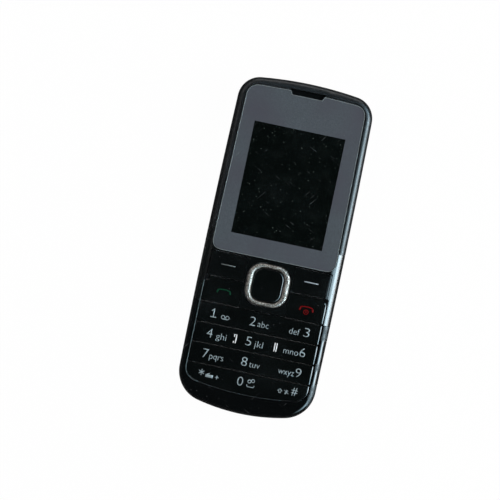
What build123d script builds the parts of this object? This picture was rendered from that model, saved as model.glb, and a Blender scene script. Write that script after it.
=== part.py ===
from build123d import *
import os

# A feature phone with keys, lying on its back, in millimetres.
# X points to the phone's right, Y towards its earpiece and Z out of its face.
# The origin is the centre of the flat on its back.

# Outline of the body, seen from the front
body_length = 108.0
body_width = 44.9
side_arc_radius = 2800.0
top_arc_radius = 124.0
bottom_arc_radius = 64.0
widest_place_share = -0.07
top_corner_round = 7.2
bottom_corner_round = 10.2
front_edge_round = 2.0
rear_edge_round = 4.5

# Walls and clearances that several pieces share
shell_wall = 1.25
face_wall = 1.2
seam_gap = 0.08
slide_gap = 0.15
fit_gap = 0.1
key_gap = 0.2
pin_gap = 0.04
overrun = 3.0

# Thickness of each layer, from the back to the face
cover_wall = 1.2
battery_thickness = 4.4
bay_floor = 1.0
shield_height = 1.6
board_thickness = 0.9
backlight_thickness = 1.2
panel_thickness = 1.1
gasket_thickness = 0.15
window_thickness = 1.2
window_recess = 0.1
ring_rise = 0.65
rear_shell_height = 6.4

# Layers of the keypad, from the board up
film_thickness = 0.1
dome_height = 0.25
dome_radius = 2.0
dome_corner_count = 12
dome_taper = 60
dome_rest_gap = 0.05
key_travel = 0.3
nub_height = 0.3
nub_radius = 1.2
pad_web = 0.45
saddle_height = 0.3
saddle_width = 3.0
saddle_gap = 0.03
rock_drop = 0.22
number_cap_height = 2.05
cap_crown = 0.18
cap_bevel = 0.3
cap_corner_round = 0.5
feel_ridge_width = 1.2
feel_ridge_length = 2.7
feel_ridge_rise = 0.25
feel_ridge_place = 6.6
feel_ridge_row = 2
mat_thickness = 0.3

# Places along the body, as shares of its length from the middle
window_top_share = 0.4704
window_bottom_share = -0.0352
upper_seam_share = 0.0231
lower_seam_share = -0.1917
call_key_top_share = -0.1148
navigation_share = -0.1104
row_line_shares = (-0.1917, -0.2537, -0.3139, -0.3750, -0.4398)
bay_top_share = 0.2426
bay_bottom_share = -0.2620
cover_top_share = 0.3056

# Display window
window_half_share = 0.4499
window_top_half_share = 0.4298
window_gap = 0.3
window_top_bow = 0.55
window_top_round = 4.0
window_bottom_round = 3.2
window_edge_bevel = 0.25
notch_top_width = 11.0
notch_bottom_width = 9.6
notch_depth = 1.35
notch_reach = 1.9

# Display and what carries it
display_width_share = 0.7572
display_top_share = 0.3870
display_bottom_share = -0.0056
active_width_share = 0.8706
active_top_share = 0.3593
active_bottom_share = 0.0227
panel_setback = 0.5
frame_wall = 1.1
gasket_band = 0.9
earpiece_width = 10.0
earpiece_height = 5.2
earpiece_place_share = 0.4352
earpiece_round = 2.2
mesh_thickness = 0.4
earpiece_port_share = 0.6

# Keypad seen from the front
keypad_half_share = 0.4454
keypad_bottom_bow = 2.13
keypad_bottom_round = 4.5
bezel_key_gap = 0.35
call_key_round = 3.0
soft_key_half_share = 0.4365
fascia_bridge = 0.4
key_well_share = 0.4143
well_margin_share = 0.01
collar_wall = 0.45
pad_width_share = 0.39
pad_depth_share = 0.5
nub_place_share = 0.335

# Navigation ring and the key inside it
ring_width_share = 0.3051
ring_height_share = 0.1231
ring_round = 4.5
ring_band_side = 1.75
ring_band_end = 1.15
ring_edge_round = 0.5
ring_foot_gap = 0.25
ring_clearance = 0.3
centre_key_gap = 0.25
centre_key_rise = 0.3
centre_key_bevel = 0.4
centre_stem_radius = 1.6
centre_cap_gap = 0.7
carrier_inset = 0.6
carrier_thickness = 0.6
carrier_hole_radius = 2.6
carrier_nub_reach_share = 0.36

# Battery and its bay
battery_width_share = 0.7572
battery_gap = 0.25
bay_wall = 1.0
battery_round = 1.2
contact_block_width = 11.0
contact_block_depth = 1.6
contact_height = 5.2
contact_blade_width = 1.2
contact_blade_reach = 0.12
contact_pitch = 3.2
contact_recess_share = 0.5
contact_level_share = 0.55

# Cover on the back
cover_margin = 1.5
cover_undercut = 0.6
cover_lip_height = 4.2
grip_rib_length = 12.0
grip_rib_depth = 0.25
grip_rib_width = 0.7
grip_rib_pitch = 1.6
grip_rib_count = 4
grip_place_share = 0.2685

# Card holders
sim_length = 25.0
sim_width = 15.0
sim_thickness = 0.76
sim_corner = 3.0
sim_holder_wall = 1.1
sim_holder_roof = 0.2
sim_lip = 1.0
sim_lip_thickness = 0.12
sim_lip_share = 0.4
sim_place_share = 0.14
memory_length = 15.0
memory_width = 11.0
memory_thickness = 0.7
memory_place_share = -0.3032
memory_setback = 0.8
reader_wall = 0.9
reader_roof = 0.25
memory_corner = 1.5

# Door of the memory card slot
door_length = 14.2
door_height = 5.1
door_thickness = 1.05
door_gap = 0.15
door_rise = 0.5
door_sweep_gap = 0.12
door_pin_radius = 0.3
door_pin_inset = 0.62
door_knuckle_radius = 0.58
door_pin_grip = 0.4
door_nail_radius = 1.4
door_nail_depth = 0.3
door_nail_share = 0.5

# Top end: headset jack, camera, loudspeaker, charger jack and data socket
jack_level_share = 0.70
headset_side_share = -0.2116
headset_bore_radius = 1.77
headset_depth_share = 0.1296
headset_body_width = 6.0
headset_tail = 1.2
charger_side_share = 0.2227
charger_bore_radius = 1.05
charger_depth_share = 0.0648
charger_body_width = 4.8
charger_tail = 1.2
jack_wall_gap = 0.18
nose_length = 1.6
nose_share = 0.92
socket_edge_share = 0.12
charger_pin_radius = 0.3
charger_pin_setback = 0.8
usb_side_share = 0.0490
usb_width = 7.6
usb_height = 2.5
usb_wall = 0.3
usb_depth = 5.2
usb_tongue = 0.6
usb_tongue_share = 0.36
usb_tongue_setback = 0.8
usb_round_share = 0.3
socket_inset = 3.3
camera_size = 8.0
camera_height = 4.8
camera_barrel_radius = 3.0
camera_barrel_height = 1.6
camera_place_share = 0.3778
camera_window_radius = 3.4
camera_window_thickness = 0.7
camera_window_step = 0.8
camera_bevel_share = 0.3
camera_corner_share = 0.08
camera_mouth_share = 0.7
camera_pupil_share = 0.3
speaker_width_share = 0.2138
speaker_end_gap = 0.35
speaker_height = 3.2
speaker_side_share = 0.2227
speaker_round = 1.5
speaker_cone_round = 0.8
speaker_cone_share = 0.3
speaker_dome_share = 0.15
speaker_dome_size_share = 0.917
speaker_dome_taper = 40
grille_slot_length = 7.0
grille_slot_width = 0.8
grille_pitch_share = 0.218
grille_slot_count = 4

# Bottom end: vibration motor, microphone, antenna and strap eyelet
motor_radius = 2.0
motor_length = 8.0
motor_side_share = -0.2784
motor_place_share = -0.3148
motor_shaft_radius = 0.4
motor_bevel_share = 0.15
cradle_wall = 0.6
cradle_setback = 1.0
weight_radius = 2.0
weight_length = 3.0
weight_gap = 0.3
weight_hub_radius = 0.85
weight_cut_share = 0.3
microphone_radius = 2.0
microphone_height = 1.3
microphone_side_share = 0.1336
microphone_place_share = -0.4444
boot_wall = 0.5
sound_hole_radius = 0.5
antenna_boss_gap = 0.3
antenna_height = 2.6
antenna_top_share = -0.3630
antenna_half_share = 0.34
antenna_round = 2.0
antenna_rib_height = 0.5
antenna_rib_width = 1.0
rib_round_share = 0.4
eyelet_pitch = 3.6
eyelet_width = 1.6
eyelet_height = 1.7
eyelet_depth = 1.9
eyelet_place_share = -0.4074
eyelet_level_share = 0.66
eyelet_round_share = 0.3
eyelet_channel_share = 0.5

# Screws and their bosses
screw_head_radius = 1.5
screw_head_height = 0.9
screw_shank_radius = 0.7
screw_engagement = 1.6
screw_socket_radius = 0.7
screw_socket_depth = 0.45
boss_radius = 2.0
top_screw_side_share = 0.3786
top_screw_share = 0.4130
bottom_screw_side_share = 0.2940
bottom_screw_share = -0.4491
screw_head_level = 2.9

# Shields on the board
shield_radio_width = 26.0
shield_radio_length_share = 0.1296
shield_radio_share = 0.1694
shield_power_width = 26.0
shield_power_length_share = 0.1574
shield_power_share = 0.0111
shield_wall = 0.25
shield_vent_radius = 0.8
shield_vent_pitch = 7.0
shield_corner_round = 0.8
shield_vent_columns = 3
shield_vent_rows = 1

# Levels that follow from the layers
battery_low = cover_wall + battery_gap
battery_top = battery_low + battery_thickness
floor_low = battery_top + slide_gap
floor_top = floor_low + bay_floor
board_low = floor_top + fit_gap + shield_height
board_top = board_low + board_thickness
panel_low = board_top + backlight_thickness
panel_top = panel_low + panel_thickness
window_low = panel_top + gasket_thickness
window_top = window_low + window_thickness
face_top = window_top + window_recess
phone_thickness = face_top + ring_rise
film_top = board_top + film_thickness
nub_low = film_top + dome_height + dome_rest_gap + key_travel
pad_low = nub_low + nub_height
pad_top = pad_low + pad_web
cap_low = pad_top + saddle_height
cap_top = cap_low + number_cap_height
key_frame_top = cap_low - key_travel - rock_drop - fit_gap
jack_level = rear_shell_height * jack_level_share
cavity_low = cover_wall + slide_gap + shell_wall
ring_low = pad_low + carrier_thickness + ring_foot_gap
centre_cap_low = pad_low + carrier_thickness + centre_cap_gap
eyelet_level = rear_shell_height * eyelet_level_share
door_low = rear_shell_height + door_rise
reader_low = board_low - memory_thickness - 2 * fit_gap - 2 * reader_roof
sound_level = board_low - microphone_height / 2
motor_level = cavity_low + weight_radius + weight_gap

# Sizes and places that follow from the shares
display_width = body_width * display_width_share
active_width = display_width * active_width_share
battery_width = body_width * battery_width_share
cover_width = battery_width + 2 * cover_margin
ring_width = body_width * ring_width_share
ring_height = body_length * ring_height_share
headset_place = body_width * headset_side_share
headset_depth = body_length * headset_depth_share
charger_place = body_width * charger_side_share
charger_depth = body_length * charger_depth_share
usb_place = body_width * usb_side_share
motor_place = body_width * motor_side_share
microphone_place = body_width * microphone_side_share
shield_radio_length = body_length * shield_radio_length_share
shield_power_length = body_length * shield_power_length_share
top_end = body_length / 2
bottom_end = -body_length / 2
widest_place = body_length * widest_place_share
window_top_place = body_length * window_top_share
window_bottom_place = body_length * window_bottom_share
upper_seam = body_length * upper_seam_share
lower_seam = body_length * lower_seam_share
navigation_place = body_length * navigation_share
call_key_top = body_length * call_key_top_share
row_lines = [body_length * share for share in row_line_shares]
bay_top = body_length * bay_top_share
bay_bottom = body_length * bay_bottom_share
display_top = body_length * display_top_share
display_bottom = body_length * display_bottom_share
keypad_half = body_width * keypad_half_share
soft_key_half = body_width * soft_key_half_share
frame_inset = shell_wall + slide_gap
board_inset = frame_inset + frame_wall + fit_gap
collar_half_width = ring_width / 2 + ring_clearance + collar_wall
fascia_key_top = window_bottom_place - fascia_bridge
bay_half = battery_width / 2 + battery_gap
cover_end_place = body_length * cover_top_share
camera_place = body_length * camera_place_share
socket_front = top_end - socket_inset
speaker_low = cover_end_place + shell_wall + fit_gap
speaker_width = body_width * speaker_width_share
speaker_length = socket_front - charger_depth - charger_tail - speaker_end_gap - speaker_low
speaker_place = body_width * speaker_side_share
speaker_y = speaker_low + speaker_length / 2
speaker_cone_length = speaker_length - 2 * speaker_round
grille_slot_pitch = speaker_length * grille_pitch_share
sim_place = body_length * sim_place_share
sim_holder_length = sim_length + 2 * fit_gap + 2 * sim_holder_wall
sim_holder_width = sim_width + 2 * fit_gap + 2 * sim_holder_wall
memory_y = body_length * memory_place_share
side_place = body_width / 2 - (memory_y - widest_place) ** 2 / (2 * side_arc_radius)
memory_x = side_place - door_thickness - memory_setback - memory_length
board_edge = side_place - board_inset
motor_left = motor_place - motor_length / 2
motor_y = body_length * motor_place_share
microphone_y = body_length * microphone_place_share
antenna_low = body_length * bottom_screw_share + boss_radius + antenna_boss_gap
antenna_high = body_length * antenna_top_share
antenna_depth = antenna_high - antenna_low
antenna_y = (antenna_low + antenna_high) / 2
antenna_half = body_width * antenna_half_share
eyelet_y = body_length * eyelet_place_share
eyelet_x = (eyelet_y - widest_place) ** 2 / (2 * side_arc_radius) - body_width / 2
earpiece_y = body_length * earpiece_place_share
active_top = body_length * active_top_share
active_bottom = body_length * active_bottom_share
door_top = memory_y + door_length / 2
door_pin_x = side_place - door_pin_inset
door_pin_y = memory_y - door_length / 2 + door_knuckle_radius
door_sweep_radius = body_width / 2 - door_pin_x + door_sweep_gap
key_well_half = body_width * key_well_share
key_well_low = row_lines[-1] + body_length * well_margin_share
pad_half = body_width * pad_width_share
pad_depth = (row_lines[0] - row_lines[1]) * pad_depth_share
number_dome_x = body_width * nub_place_share
soft_dome_x = number_dome_x
soft_dome_y = (fascia_key_top + call_key_top) / 2
call_dome_y = (call_key_top + lower_seam) / 2
nav_reach = ring_width * carrier_nub_reach_share
row_middles = [(low + high) / 2 for low, high in zip(row_lines[1:], row_lines[:-1])]
dome_places = [(x, y) for y in row_middles for x in (-number_dome_x, 0.0, number_dome_x)]
dome_places += [(side * soft_dome_x, y) for side in (-1, 1) for y in (soft_dome_y, call_dome_y)]
dome_places += [(0.0, navigation_place), (nav_reach, navigation_place), (-nav_reach, navigation_place)]
dome_places += [(0.0, navigation_place + nav_reach), (0.0, navigation_place - nav_reach)]
screw_places = [
    (side * body_width * side_share, body_length * share)
    for side_share, share in (
        (top_screw_side_share, top_screw_share), (bottom_screw_side_share, bottom_screw_share))
    for side in (-1, 1)
]


def body_outline(level, inset=0.0):
    """The phone's outline at a level: four large arcs with round corners, drawn in by an inset."""
    side_centre = body_width / 2 - side_arc_radius
    with BuildSketch(Plane.XY.offset(level)) as outline:
        with Locations((side_centre, widest_place)):
            Circle(side_arc_radius - inset)
        with Locations((-side_centre, widest_place)):
            Circle(side_arc_radius - inset, mode=Mode.INTERSECT)
        with Locations((0, top_end - top_arc_radius)):
            Circle(top_arc_radius - inset, mode=Mode.INTERSECT)
        with Locations((0, bottom_end + bottom_arc_radius)):
            Circle(bottom_arc_radius - inset, mode=Mode.INTERSECT)
        fillet(outline.vertices().group_by(Axis.Y)[-1], top_corner_round - inset)
        fillet(outline.vertices().group_by(Axis.Y)[0], bottom_corner_round - inset)
    return outline.sketch


def window_outline(level, margin=0.0):
    """The display window's outline as a flat face at a level, grown by a margin."""
    half = body_width * window_half_share + margin
    top_half = body_width * window_top_half_share + margin
    bottom = window_bottom_place - margin
    top = window_top_place + margin
    with BuildSketch(Plane.XY.offset(level)) as outline:
        with BuildLine():
            Polyline((-top_half, top - window_top_bow), (-half, bottom), (half, bottom),
                     (top_half, top - window_top_bow))
            ThreePointArc((top_half, top - window_top_bow), (0, top), (-top_half, top - window_top_bow))
        make_face()
        fillet(outline.vertices().group_by(Axis.Y)[-1], window_top_round + margin)
        fillet(outline.vertices().group_by(Axis.Y)[0], window_bottom_round + margin)
    return outline.sketch


def keypad_outline(level, margin=0.0):
    """Outline of the number rows together, with the curved lower edge, grown by a margin."""
    half = keypad_half + margin
    top = row_lines[0] + margin
    bottom = row_lines[-1] - margin
    with BuildSketch(Plane.XY.offset(level)) as outline:
        with BuildLine():
            Polyline((half, bottom + keypad_bottom_bow), (half, top), (-half, top),
                     (-half, bottom + keypad_bottom_bow))
            ThreePointArc((-half, bottom + keypad_bottom_bow), (0, bottom),
                          (half, bottom + keypad_bottom_bow))
        make_face()
        fillet(outline.vertices().group_by(Axis.Y)[0], keypad_bottom_round + margin)
    return outline.sketch


def ring_outline(level, margin):
    """The navigation ring's rounded outline at a level, grown or drawn in by a margin."""
    with BuildSketch(Plane.XY.offset(level)) as outline:
        with Locations((0, navigation_place)):
            RectangleRounded(ring_width + 2 * margin, ring_height + 2 * margin, ring_round + margin)
    return outline.sketch


def plain_block(x_low, x_high, y_low, y_high, level):
    """A rectangle at a level, given by its four edges."""
    with BuildSketch(Plane.XY.offset(level)) as block:
        with Locations(((x_low + x_high) / 2, (y_low + y_high) / 2)):
            Rectangle(x_high - x_low, y_high - y_low)
    return block.sketch


def body_form(inset, top_level):
    """The body's solid form with its rounded back edge, drawn in by an inset."""
    with BuildPart() as form:
        extrude(body_outline(inset, inset), amount=top_level - inset)
        fillet(form.faces().sort_by(Axis.Z)[0].edges(), rear_edge_round - inset)
    return form.part


def save(piece, name):
    """Label a finished piece and write it to its own file."""
    piece.part.label = name
    export_step(piece.part, "parts/" + name + ".step")


# The full outer form, with both edges rounded, that the shells are cut from
with BuildPart() as outer_form:
    add(body_form(0.0, face_top))
    fillet(outer_form.faces().sort_by(Axis.Z)[-1].edges(), front_edge_round)


def cover_prism(gap):
    """The dovetail prism that the back cover fills, drawn in by a gap."""
    half_low = cover_width / 2 - gap
    half_high = cover_width / 2 + cover_undercut - gap
    cover_end = cover_end_place - gap
    with BuildPart() as prism:
        with BuildSketch(Plane.XZ.offset(-cover_end)):
            with BuildLine():
                Polyline(
                    (-half_low, -overrun), (half_low, -overrun), (half_low, 0), (half_high, cover_wall),
                    (half_high, cover_lip_height - gap), (-half_high, cover_lip_height - gap),
                    (-half_high, cover_wall), (-half_low, 0), (-half_low, -overrun),
                )
            make_face()
        extrude(amount=cover_end - bottom_end + overrun)
    return prism.part


def screw_bores(radius, low, high):
    """Four round columns at the screw places, for bores and bosses."""
    with BuildPart() as bores:
        with BuildSketch(Plane.XY.offset(low)):
            with Locations(*screw_places):
                Circle(radius)
        extrude(amount=high - low)
    return bores.part


def end_bore(x_place, z_place, radius, y_low, y_high):
    """A round bore along Y, for a socket in the top end or a hole in the bottom end."""
    with BuildPart() as bore:
        with BuildSketch(Plane.XZ.offset(-y_high)):
            with Locations((x_place, z_place)):
                Circle(radius)
        extrude(amount=y_high - y_low)
    return bore.part


def usb_prism(margin, y_low, y_high):
    """The data socket's rounded section carried along Y, grown by a margin."""
    width = usb_width + 2 * margin
    height = usb_height + 2 * margin
    with BuildPart() as prism:
        with BuildSketch(Plane.XZ.offset(-y_high)):
            with Locations((usb_place, board_low - usb_height / 2)):
                RectangleRounded(width, height, height * usb_round_share)
        extrude(amount=y_high - y_low)
    return prism.part


def notch_outline(level, reach, margin=0.0):
    """The earpiece notch at the window's top edge, a trapezoid that narrows downwards."""
    low_place = window_top_place - notch_depth
    low_half = notch_bottom_width / 2 + margin
    high_half = low_half + (notch_top_width - notch_bottom_width) / 2 * reach / notch_depth
    with BuildSketch(Plane.XY.offset(level)) as outline:
        with BuildLine():
            Polyline((-low_half, low_place - margin), (low_half, low_place - margin),
                     (high_half, low_place + reach + margin), (-high_half, low_place + reach + margin),
                     (-low_half, low_place - margin))
        make_face()
    return outline.sketch


def door_region(gap, hinge_radius):
    """The card door's space in the right side, rounded about its pin, grown by a gap."""
    with BuildPart() as region:
        with BuildSketch(Plane.XY.offset(door_low - gap)):
            with Locations(((door_pin_x + body_width) / 2, (door_pin_y + door_top + gap) / 2)):
                Rectangle(body_width - door_pin_x + 2 * door_thickness, door_top + gap - door_pin_y)
            with Locations((door_pin_x, door_pin_y)):
                Circle(hinge_radius)
        extrude(amount=door_height + 2 * gap)
    return region.part


# Rear housing: the tub with the battery bay, the cover's recess and the sockets' holes
with BuildPart() as cover_backing:
    extrude(
        plain_block(-body_width, body_width, -body_length, cover_end_place + shell_wall, 0.0),
        amount=cavity_low,
    )

with BuildPart() as housing_hollow:
    add(body_form(shell_wall, rear_shell_height + overrun))
    add(cover_backing.part, mode=Mode.SUBTRACT)

with BuildPart() as housing_bosses:
    extrude(body_outline(shell_wall / 2, board_inset), amount=board_low - shell_wall / 2)
    add(screw_bores(boss_radius, shell_wall / 2, board_low), mode=Mode.INTERSECT)

# Solid corner behind the strap eyelet
with BuildPart() as eyelet_block:
    extrude(body_outline(cavity_low, shell_wall / 2), amount=rear_shell_height - cavity_low)
    extrude(
        plain_block(-body_width, eyelet_x + 2 * eyelet_depth, eyelet_y - eyelet_pitch,
                    eyelet_y + eyelet_pitch, cavity_low),
        amount=rear_shell_height,
        mode=Mode.INTERSECT,
    )

with BuildPart() as cover_recess:
    add(cover_prism(0.0))
    add(body_form(cover_wall + slide_gap, rear_shell_height), mode=Mode.SUBTRACT)

with BuildPart() as rear_housing:
    add(outer_form.part)
    split(bisect_by=Plane.XY.offset(rear_shell_height), keep=Keep.BOTTOM)
    add(housing_hollow.part, mode=Mode.SUBTRACT)
    # Battery bay as a box of walls with a floor
    extrude(
        plain_block(-bay_half - bay_wall, bay_half + bay_wall, bay_bottom - bay_wall, bay_top + bay_wall,
                    cover_wall + slide_gap),
        amount=floor_top - cover_wall - slide_gap,
    )
    add(eyelet_block.part)
    add(housing_bosses.part)
    extrude(
        plain_block(-bay_half, bay_half, bay_bottom, bay_top, -overrun),
        amount=floor_low + overrun,
        mode=Mode.SUBTRACT,
    )
    add(cover_recess.part, mode=Mode.SUBTRACT)
    add(screw_bores(screw_shank_radius + fit_gap, -overrun, board_low + overrun), mode=Mode.SUBTRACT)
    add(screw_bores(screw_head_radius + fit_gap, -overrun, screw_head_level), mode=Mode.SUBTRACT)
    # Window in the bay's floor for the SIM holder
    extrude(
        plain_block(-sim_holder_length / 2 - fit_gap, sim_holder_length / 2 + fit_gap,
                    sim_place - sim_holder_width / 2 - fit_gap, sim_place + sim_holder_width / 2 + fit_gap,
                    floor_low - slide_gap),
        amount=bay_floor + overrun,
        mode=Mode.SUBTRACT,
    )
    # Opening in the bay's end wall for the battery contacts
    extrude(
        plain_block(-contact_block_width / 2 - fit_gap, contact_block_width / 2 + fit_gap,
                    bay_top - bay_wall, bay_top + 2 * bay_wall, cavity_low),
        amount=floor_top + overrun,
        mode=Mode.SUBTRACT,
    )
    # Camera window's recess and the opening behind it
    with BuildSketch(Plane.XY):
        with Locations((0, camera_place)):
            Circle(camera_window_radius + fit_gap)
    extrude(amount=camera_window_thickness + fit_gap, mode=Mode.SUBTRACT)
    with BuildSketch(Plane.XY):
        with Locations((0, camera_place)):
            Circle(camera_window_radius - camera_window_step)
    extrude(amount=2 * shell_wall, mode=Mode.SUBTRACT)
    # Slots in front of the loudspeaker
    with BuildSketch(Plane.XY.offset(-overrun)):
        with Locations((speaker_place, speaker_y)):
            with GridLocations(0, grille_slot_pitch, 1, grille_slot_count):
                SlotOverall(grille_slot_length, grille_slot_width)
    extrude(amount=overrun + 2 * shell_wall, mode=Mode.SUBTRACT)
    # Holes in the top end for the sockets
    add(end_bore(headset_place, jack_level, headset_bore_radius + jack_wall_gap, socket_front - fit_gap,
                 top_end + overrun), mode=Mode.SUBTRACT)
    add(end_bore(charger_place, jack_level, charger_bore_radius + jack_wall_gap, socket_front - fit_gap,
                 top_end + overrun), mode=Mode.SUBTRACT)
    add(usb_prism(jack_wall_gap, socket_front - usb_depth, top_end + overrun), mode=Mode.SUBTRACT)
    # Strap eyelet: two mouths and the channel that joins them behind a bar
    with BuildSketch(Plane.YZ.offset(-body_width)):
        with Locations((eyelet_y, eyelet_level)):
            with GridLocations(eyelet_pitch, 0, 2, 1):
                RectangleRounded(eyelet_width, eyelet_height, eyelet_width * eyelet_round_share)
    extrude(amount=body_width + eyelet_x + eyelet_depth, mode=Mode.SUBTRACT)
    with BuildSketch(Plane.YZ.offset(eyelet_x + eyelet_depth)):
        with Locations((eyelet_y, eyelet_level)):
            Rectangle(eyelet_pitch, eyelet_height)
    extrude(amount=-eyelet_depth * eyelet_channel_share, mode=Mode.SUBTRACT)

save(rear_housing, "rear_housing")

# Cover on the back, which fills its dovetail recess and wraps the lower end
with BuildPart() as battery_cover:
    add(cover_prism(slide_gap))
    add(outer_form.part, mode=Mode.INTERSECT)
    add(body_form(cover_wall, rear_shell_height), mode=Mode.SUBTRACT)
    # Grip ribs are the lands between shallow grooves across the thumb's place
    with BuildSketch(Plane.XY.offset(grip_rib_depth)):
        with Locations((0, body_length * grip_place_share)):
            with GridLocations(0, grip_rib_pitch, 1, grip_rib_count):
                SlotOverall(grip_rib_length, grip_rib_width)
    extrude(amount=-overrun, mode=Mode.SUBTRACT)

save(battery_cover, "battery_cover")

# Camera: the clear window in the back and the module behind it
with BuildPart() as camera_window:
    with BuildSketch(Plane.XY.offset(fit_gap)):
        with Locations((0, camera_place)):
            Circle(camera_window_radius)
    extrude(amount=camera_window_thickness)
    chamfer(camera_window.edges().sort_by(Axis.Z)[0], camera_window_thickness * camera_bevel_share)

save(camera_window, "camera_window")

with BuildPart() as camera_module:
    with BuildSketch(Plane.XY.offset(shell_wall + camera_barrel_height)):
        with Locations((0, camera_place)):
            RectangleRounded(camera_size, camera_size, camera_size * camera_corner_share)
    extrude(amount=camera_height - camera_barrel_height)
    with BuildSketch(Plane.XY.offset(shell_wall)):
        with Locations((0, camera_place)):
            Circle(camera_barrel_radius)
    extrude(amount=camera_barrel_height)
    # Conical mouth in front of the lens
    with Locations((0, camera_place, shell_wall)):
        Cone(
            camera_barrel_radius * camera_mouth_share, camera_barrel_radius * camera_pupil_share,
            camera_barrel_height, align=(Align.CENTER, Align.CENTER, Align.MIN), mode=Mode.SUBTRACT,
        )

save(camera_module, "camera_module")

# Loudspeaker, seated on the back wall over the slots
with BuildPart() as loudspeaker:
    with BuildSketch(Plane.XY.offset(shell_wall)):
        with Locations((speaker_place, speaker_y)):
            RectangleRounded(speaker_width, speaker_length, speaker_round)
    extrude(amount=speaker_height)
    # Sunk cone with its raised dome
    with BuildSketch(Plane.XY.offset(shell_wall)):
        with Locations((speaker_place, speaker_y)):
            RectangleRounded(speaker_width - 2 * speaker_round, speaker_cone_length, speaker_cone_round)
    extrude(amount=speaker_height * speaker_cone_share, mode=Mode.SUBTRACT)
    with BuildSketch(Plane.XY.offset(shell_wall + speaker_height * speaker_cone_share)):
        with Locations((speaker_place, speaker_y)):
            Circle(speaker_cone_length / 2 * speaker_dome_size_share)
    extrude(amount=-speaker_height * speaker_dome_share, taper=speaker_dome_taper)

save(loudspeaker, "loudspeaker")


# Round sockets: a block under the board with a round nose, bored along Y
def round_socket(x_place, bore_radius, depth, block_width, tail):
    """A round jack socket with its pedestal up to the board."""
    y_back = socket_front - depth - tail
    nose_radius = block_width / 2 - fit_gap
    with BuildPart() as socket:
        extrude(
            plain_block(x_place - block_width / 2, x_place + block_width / 2, y_back,
                        socket_front - nose_length, jack_level - block_width / 2),
            amount=rear_shell_height - fit_gap - jack_level + block_width / 2,
        )
        extrude(
            plain_block(x_place - block_width / 2, x_place + block_width / 2, y_back,
                        socket_front - nose_length - frame_wall - shell_wall, jack_level),
            amount=board_low - jack_level,
        )
        fillet(socket.edges().filter_by(Axis.Y).sort_by(Axis.Z)[:2], block_width * socket_edge_share)
        add(end_bore(x_place, jack_level, nose_radius * nose_share, socket_front - 2 * nose_length,
                     socket_front))
        add(end_bore(x_place, jack_level, bore_radius, socket_front - depth, socket_front + overrun),
            mode=Mode.SUBTRACT)
    return socket


headset_jack = round_socket(headset_place, headset_bore_radius, headset_depth, headset_body_width,
                            headset_tail)
save(headset_jack, "headset_jack")

charger_socket = round_socket(charger_place, charger_bore_radius, charger_depth, charger_body_width,
                              charger_tail)
with BuildPart() as charger_jack:
    add(charger_socket.part)
    add(end_bore(charger_place, jack_level, charger_pin_radius, socket_front - charger_depth - charger_tail,
                 socket_front - charger_pin_setback))
save(charger_jack, "charger_jack")

# Data socket: a thin metal sleeve with its tongue
with BuildPart() as usb_socket:
    add(usb_prism(0.0, socket_front - usb_depth, socket_front))
    add(usb_prism(-usb_wall, socket_front - usb_depth + usb_wall, socket_front + overrun), mode=Mode.SUBTRACT)
    extrude(
        plain_block(usb_place - usb_width * usb_tongue_share, usb_place + usb_width * usb_tongue_share,
                    socket_front - usb_depth, socket_front - usb_tongue_setback,
                    board_low - usb_height / 2 - usb_tongue / 2),
        amount=usb_tongue,
    )

save(usb_socket, "usb_socket")

# Battery with rounded edges, and the contact block at its upper end
with BuildPart() as battery:
    extrude(
        plain_block(-battery_width / 2, battery_width / 2, bay_bottom + battery_gap, bay_top - battery_gap,
                    battery_low),
        amount=battery_thickness,
    )
    fillet(battery.edges().filter_by(Axis.Z), battery_round)
    fillet(battery.edges().filter_by(Axis.Y), battery_round)
    # Recessed contacts in the end that faces the contact block
    with BuildSketch(Plane.XZ.offset(-bay_top + battery_gap)):
        with Locations((0, battery_low + battery_thickness / 2)):
            with GridLocations(contact_pitch, 0, 3, 1):
                Rectangle(contact_blade_width + 2 * fit_gap, battery_thickness * contact_recess_share)
    extrude(amount=contact_blade_reach, mode=Mode.SUBTRACT)

save(battery, "battery")

with BuildPart() as battery_contacts:
    extrude(
        plain_block(-contact_block_width / 2, contact_block_width / 2, bay_top, bay_top + contact_block_depth,
                    board_low - contact_height),
        amount=contact_height,
    )
    with BuildSketch(Plane.XZ.offset(-bay_top)):
        with Locations((0, battery_low + battery_thickness * contact_level_share)):
            with GridLocations(contact_pitch, 0, 3, 1):
                Rectangle(contact_blade_width, contact_blade_width)
    extrude(amount=contact_blade_reach)

save(battery_contacts, "battery_contacts")

# SIM card in its holder, in the window of the bay's floor
with BuildPart() as sim_holder:
    extrude(
        plain_block(-sim_holder_length / 2, sim_holder_length / 2, sim_place - sim_holder_width / 2,
                    sim_place + sim_holder_width / 2, floor_low),
        amount=sim_thickness + fit_gap + sim_holder_roof,
    )
    extrude(
        plain_block(-sim_length / 2 - fit_gap, sim_length / 2 + fit_gap, sim_place - sim_width / 2 - fit_gap,
                    sim_place + sim_width / 2 + fit_gap, floor_low - overrun),
        amount=sim_thickness + fit_gap + overrun,
        mode=Mode.SUBTRACT,
    )
    # Two lips that hold the card's long edges
    with BuildSketch(Plane.XY.offset(floor_low)):
        with Locations((0, sim_place)):
            with GridLocations(0, sim_width + 2 * fit_gap, 1, 2):
                Rectangle(sim_length * sim_lip_share, 2 * sim_lip)
    extrude(amount=-sim_lip_thickness)

save(sim_holder, "sim_holder")

with BuildPart() as sim_card:
    with BuildSketch(Plane.XY.offset(floor_low + fit_gap / 2)):
        with Locations((0, sim_place)):
            Rectangle(sim_length, sim_width)
    extrude(amount=sim_thickness)
    chamfer(sim_card.edges().filter_by(Axis.Z).sort_by(Axis.X)[-1], sim_corner)

save(sim_card, "sim_card")

# Main board, with its screw holes
with BuildPart() as main_board:
    extrude(body_outline(board_low, board_inset), amount=board_thickness)
    add(screw_bores(screw_shank_radius + fit_gap, board_low - overrun, board_top + overrun),
        mode=Mode.SUBTRACT)

save(main_board, "main_board")


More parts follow.
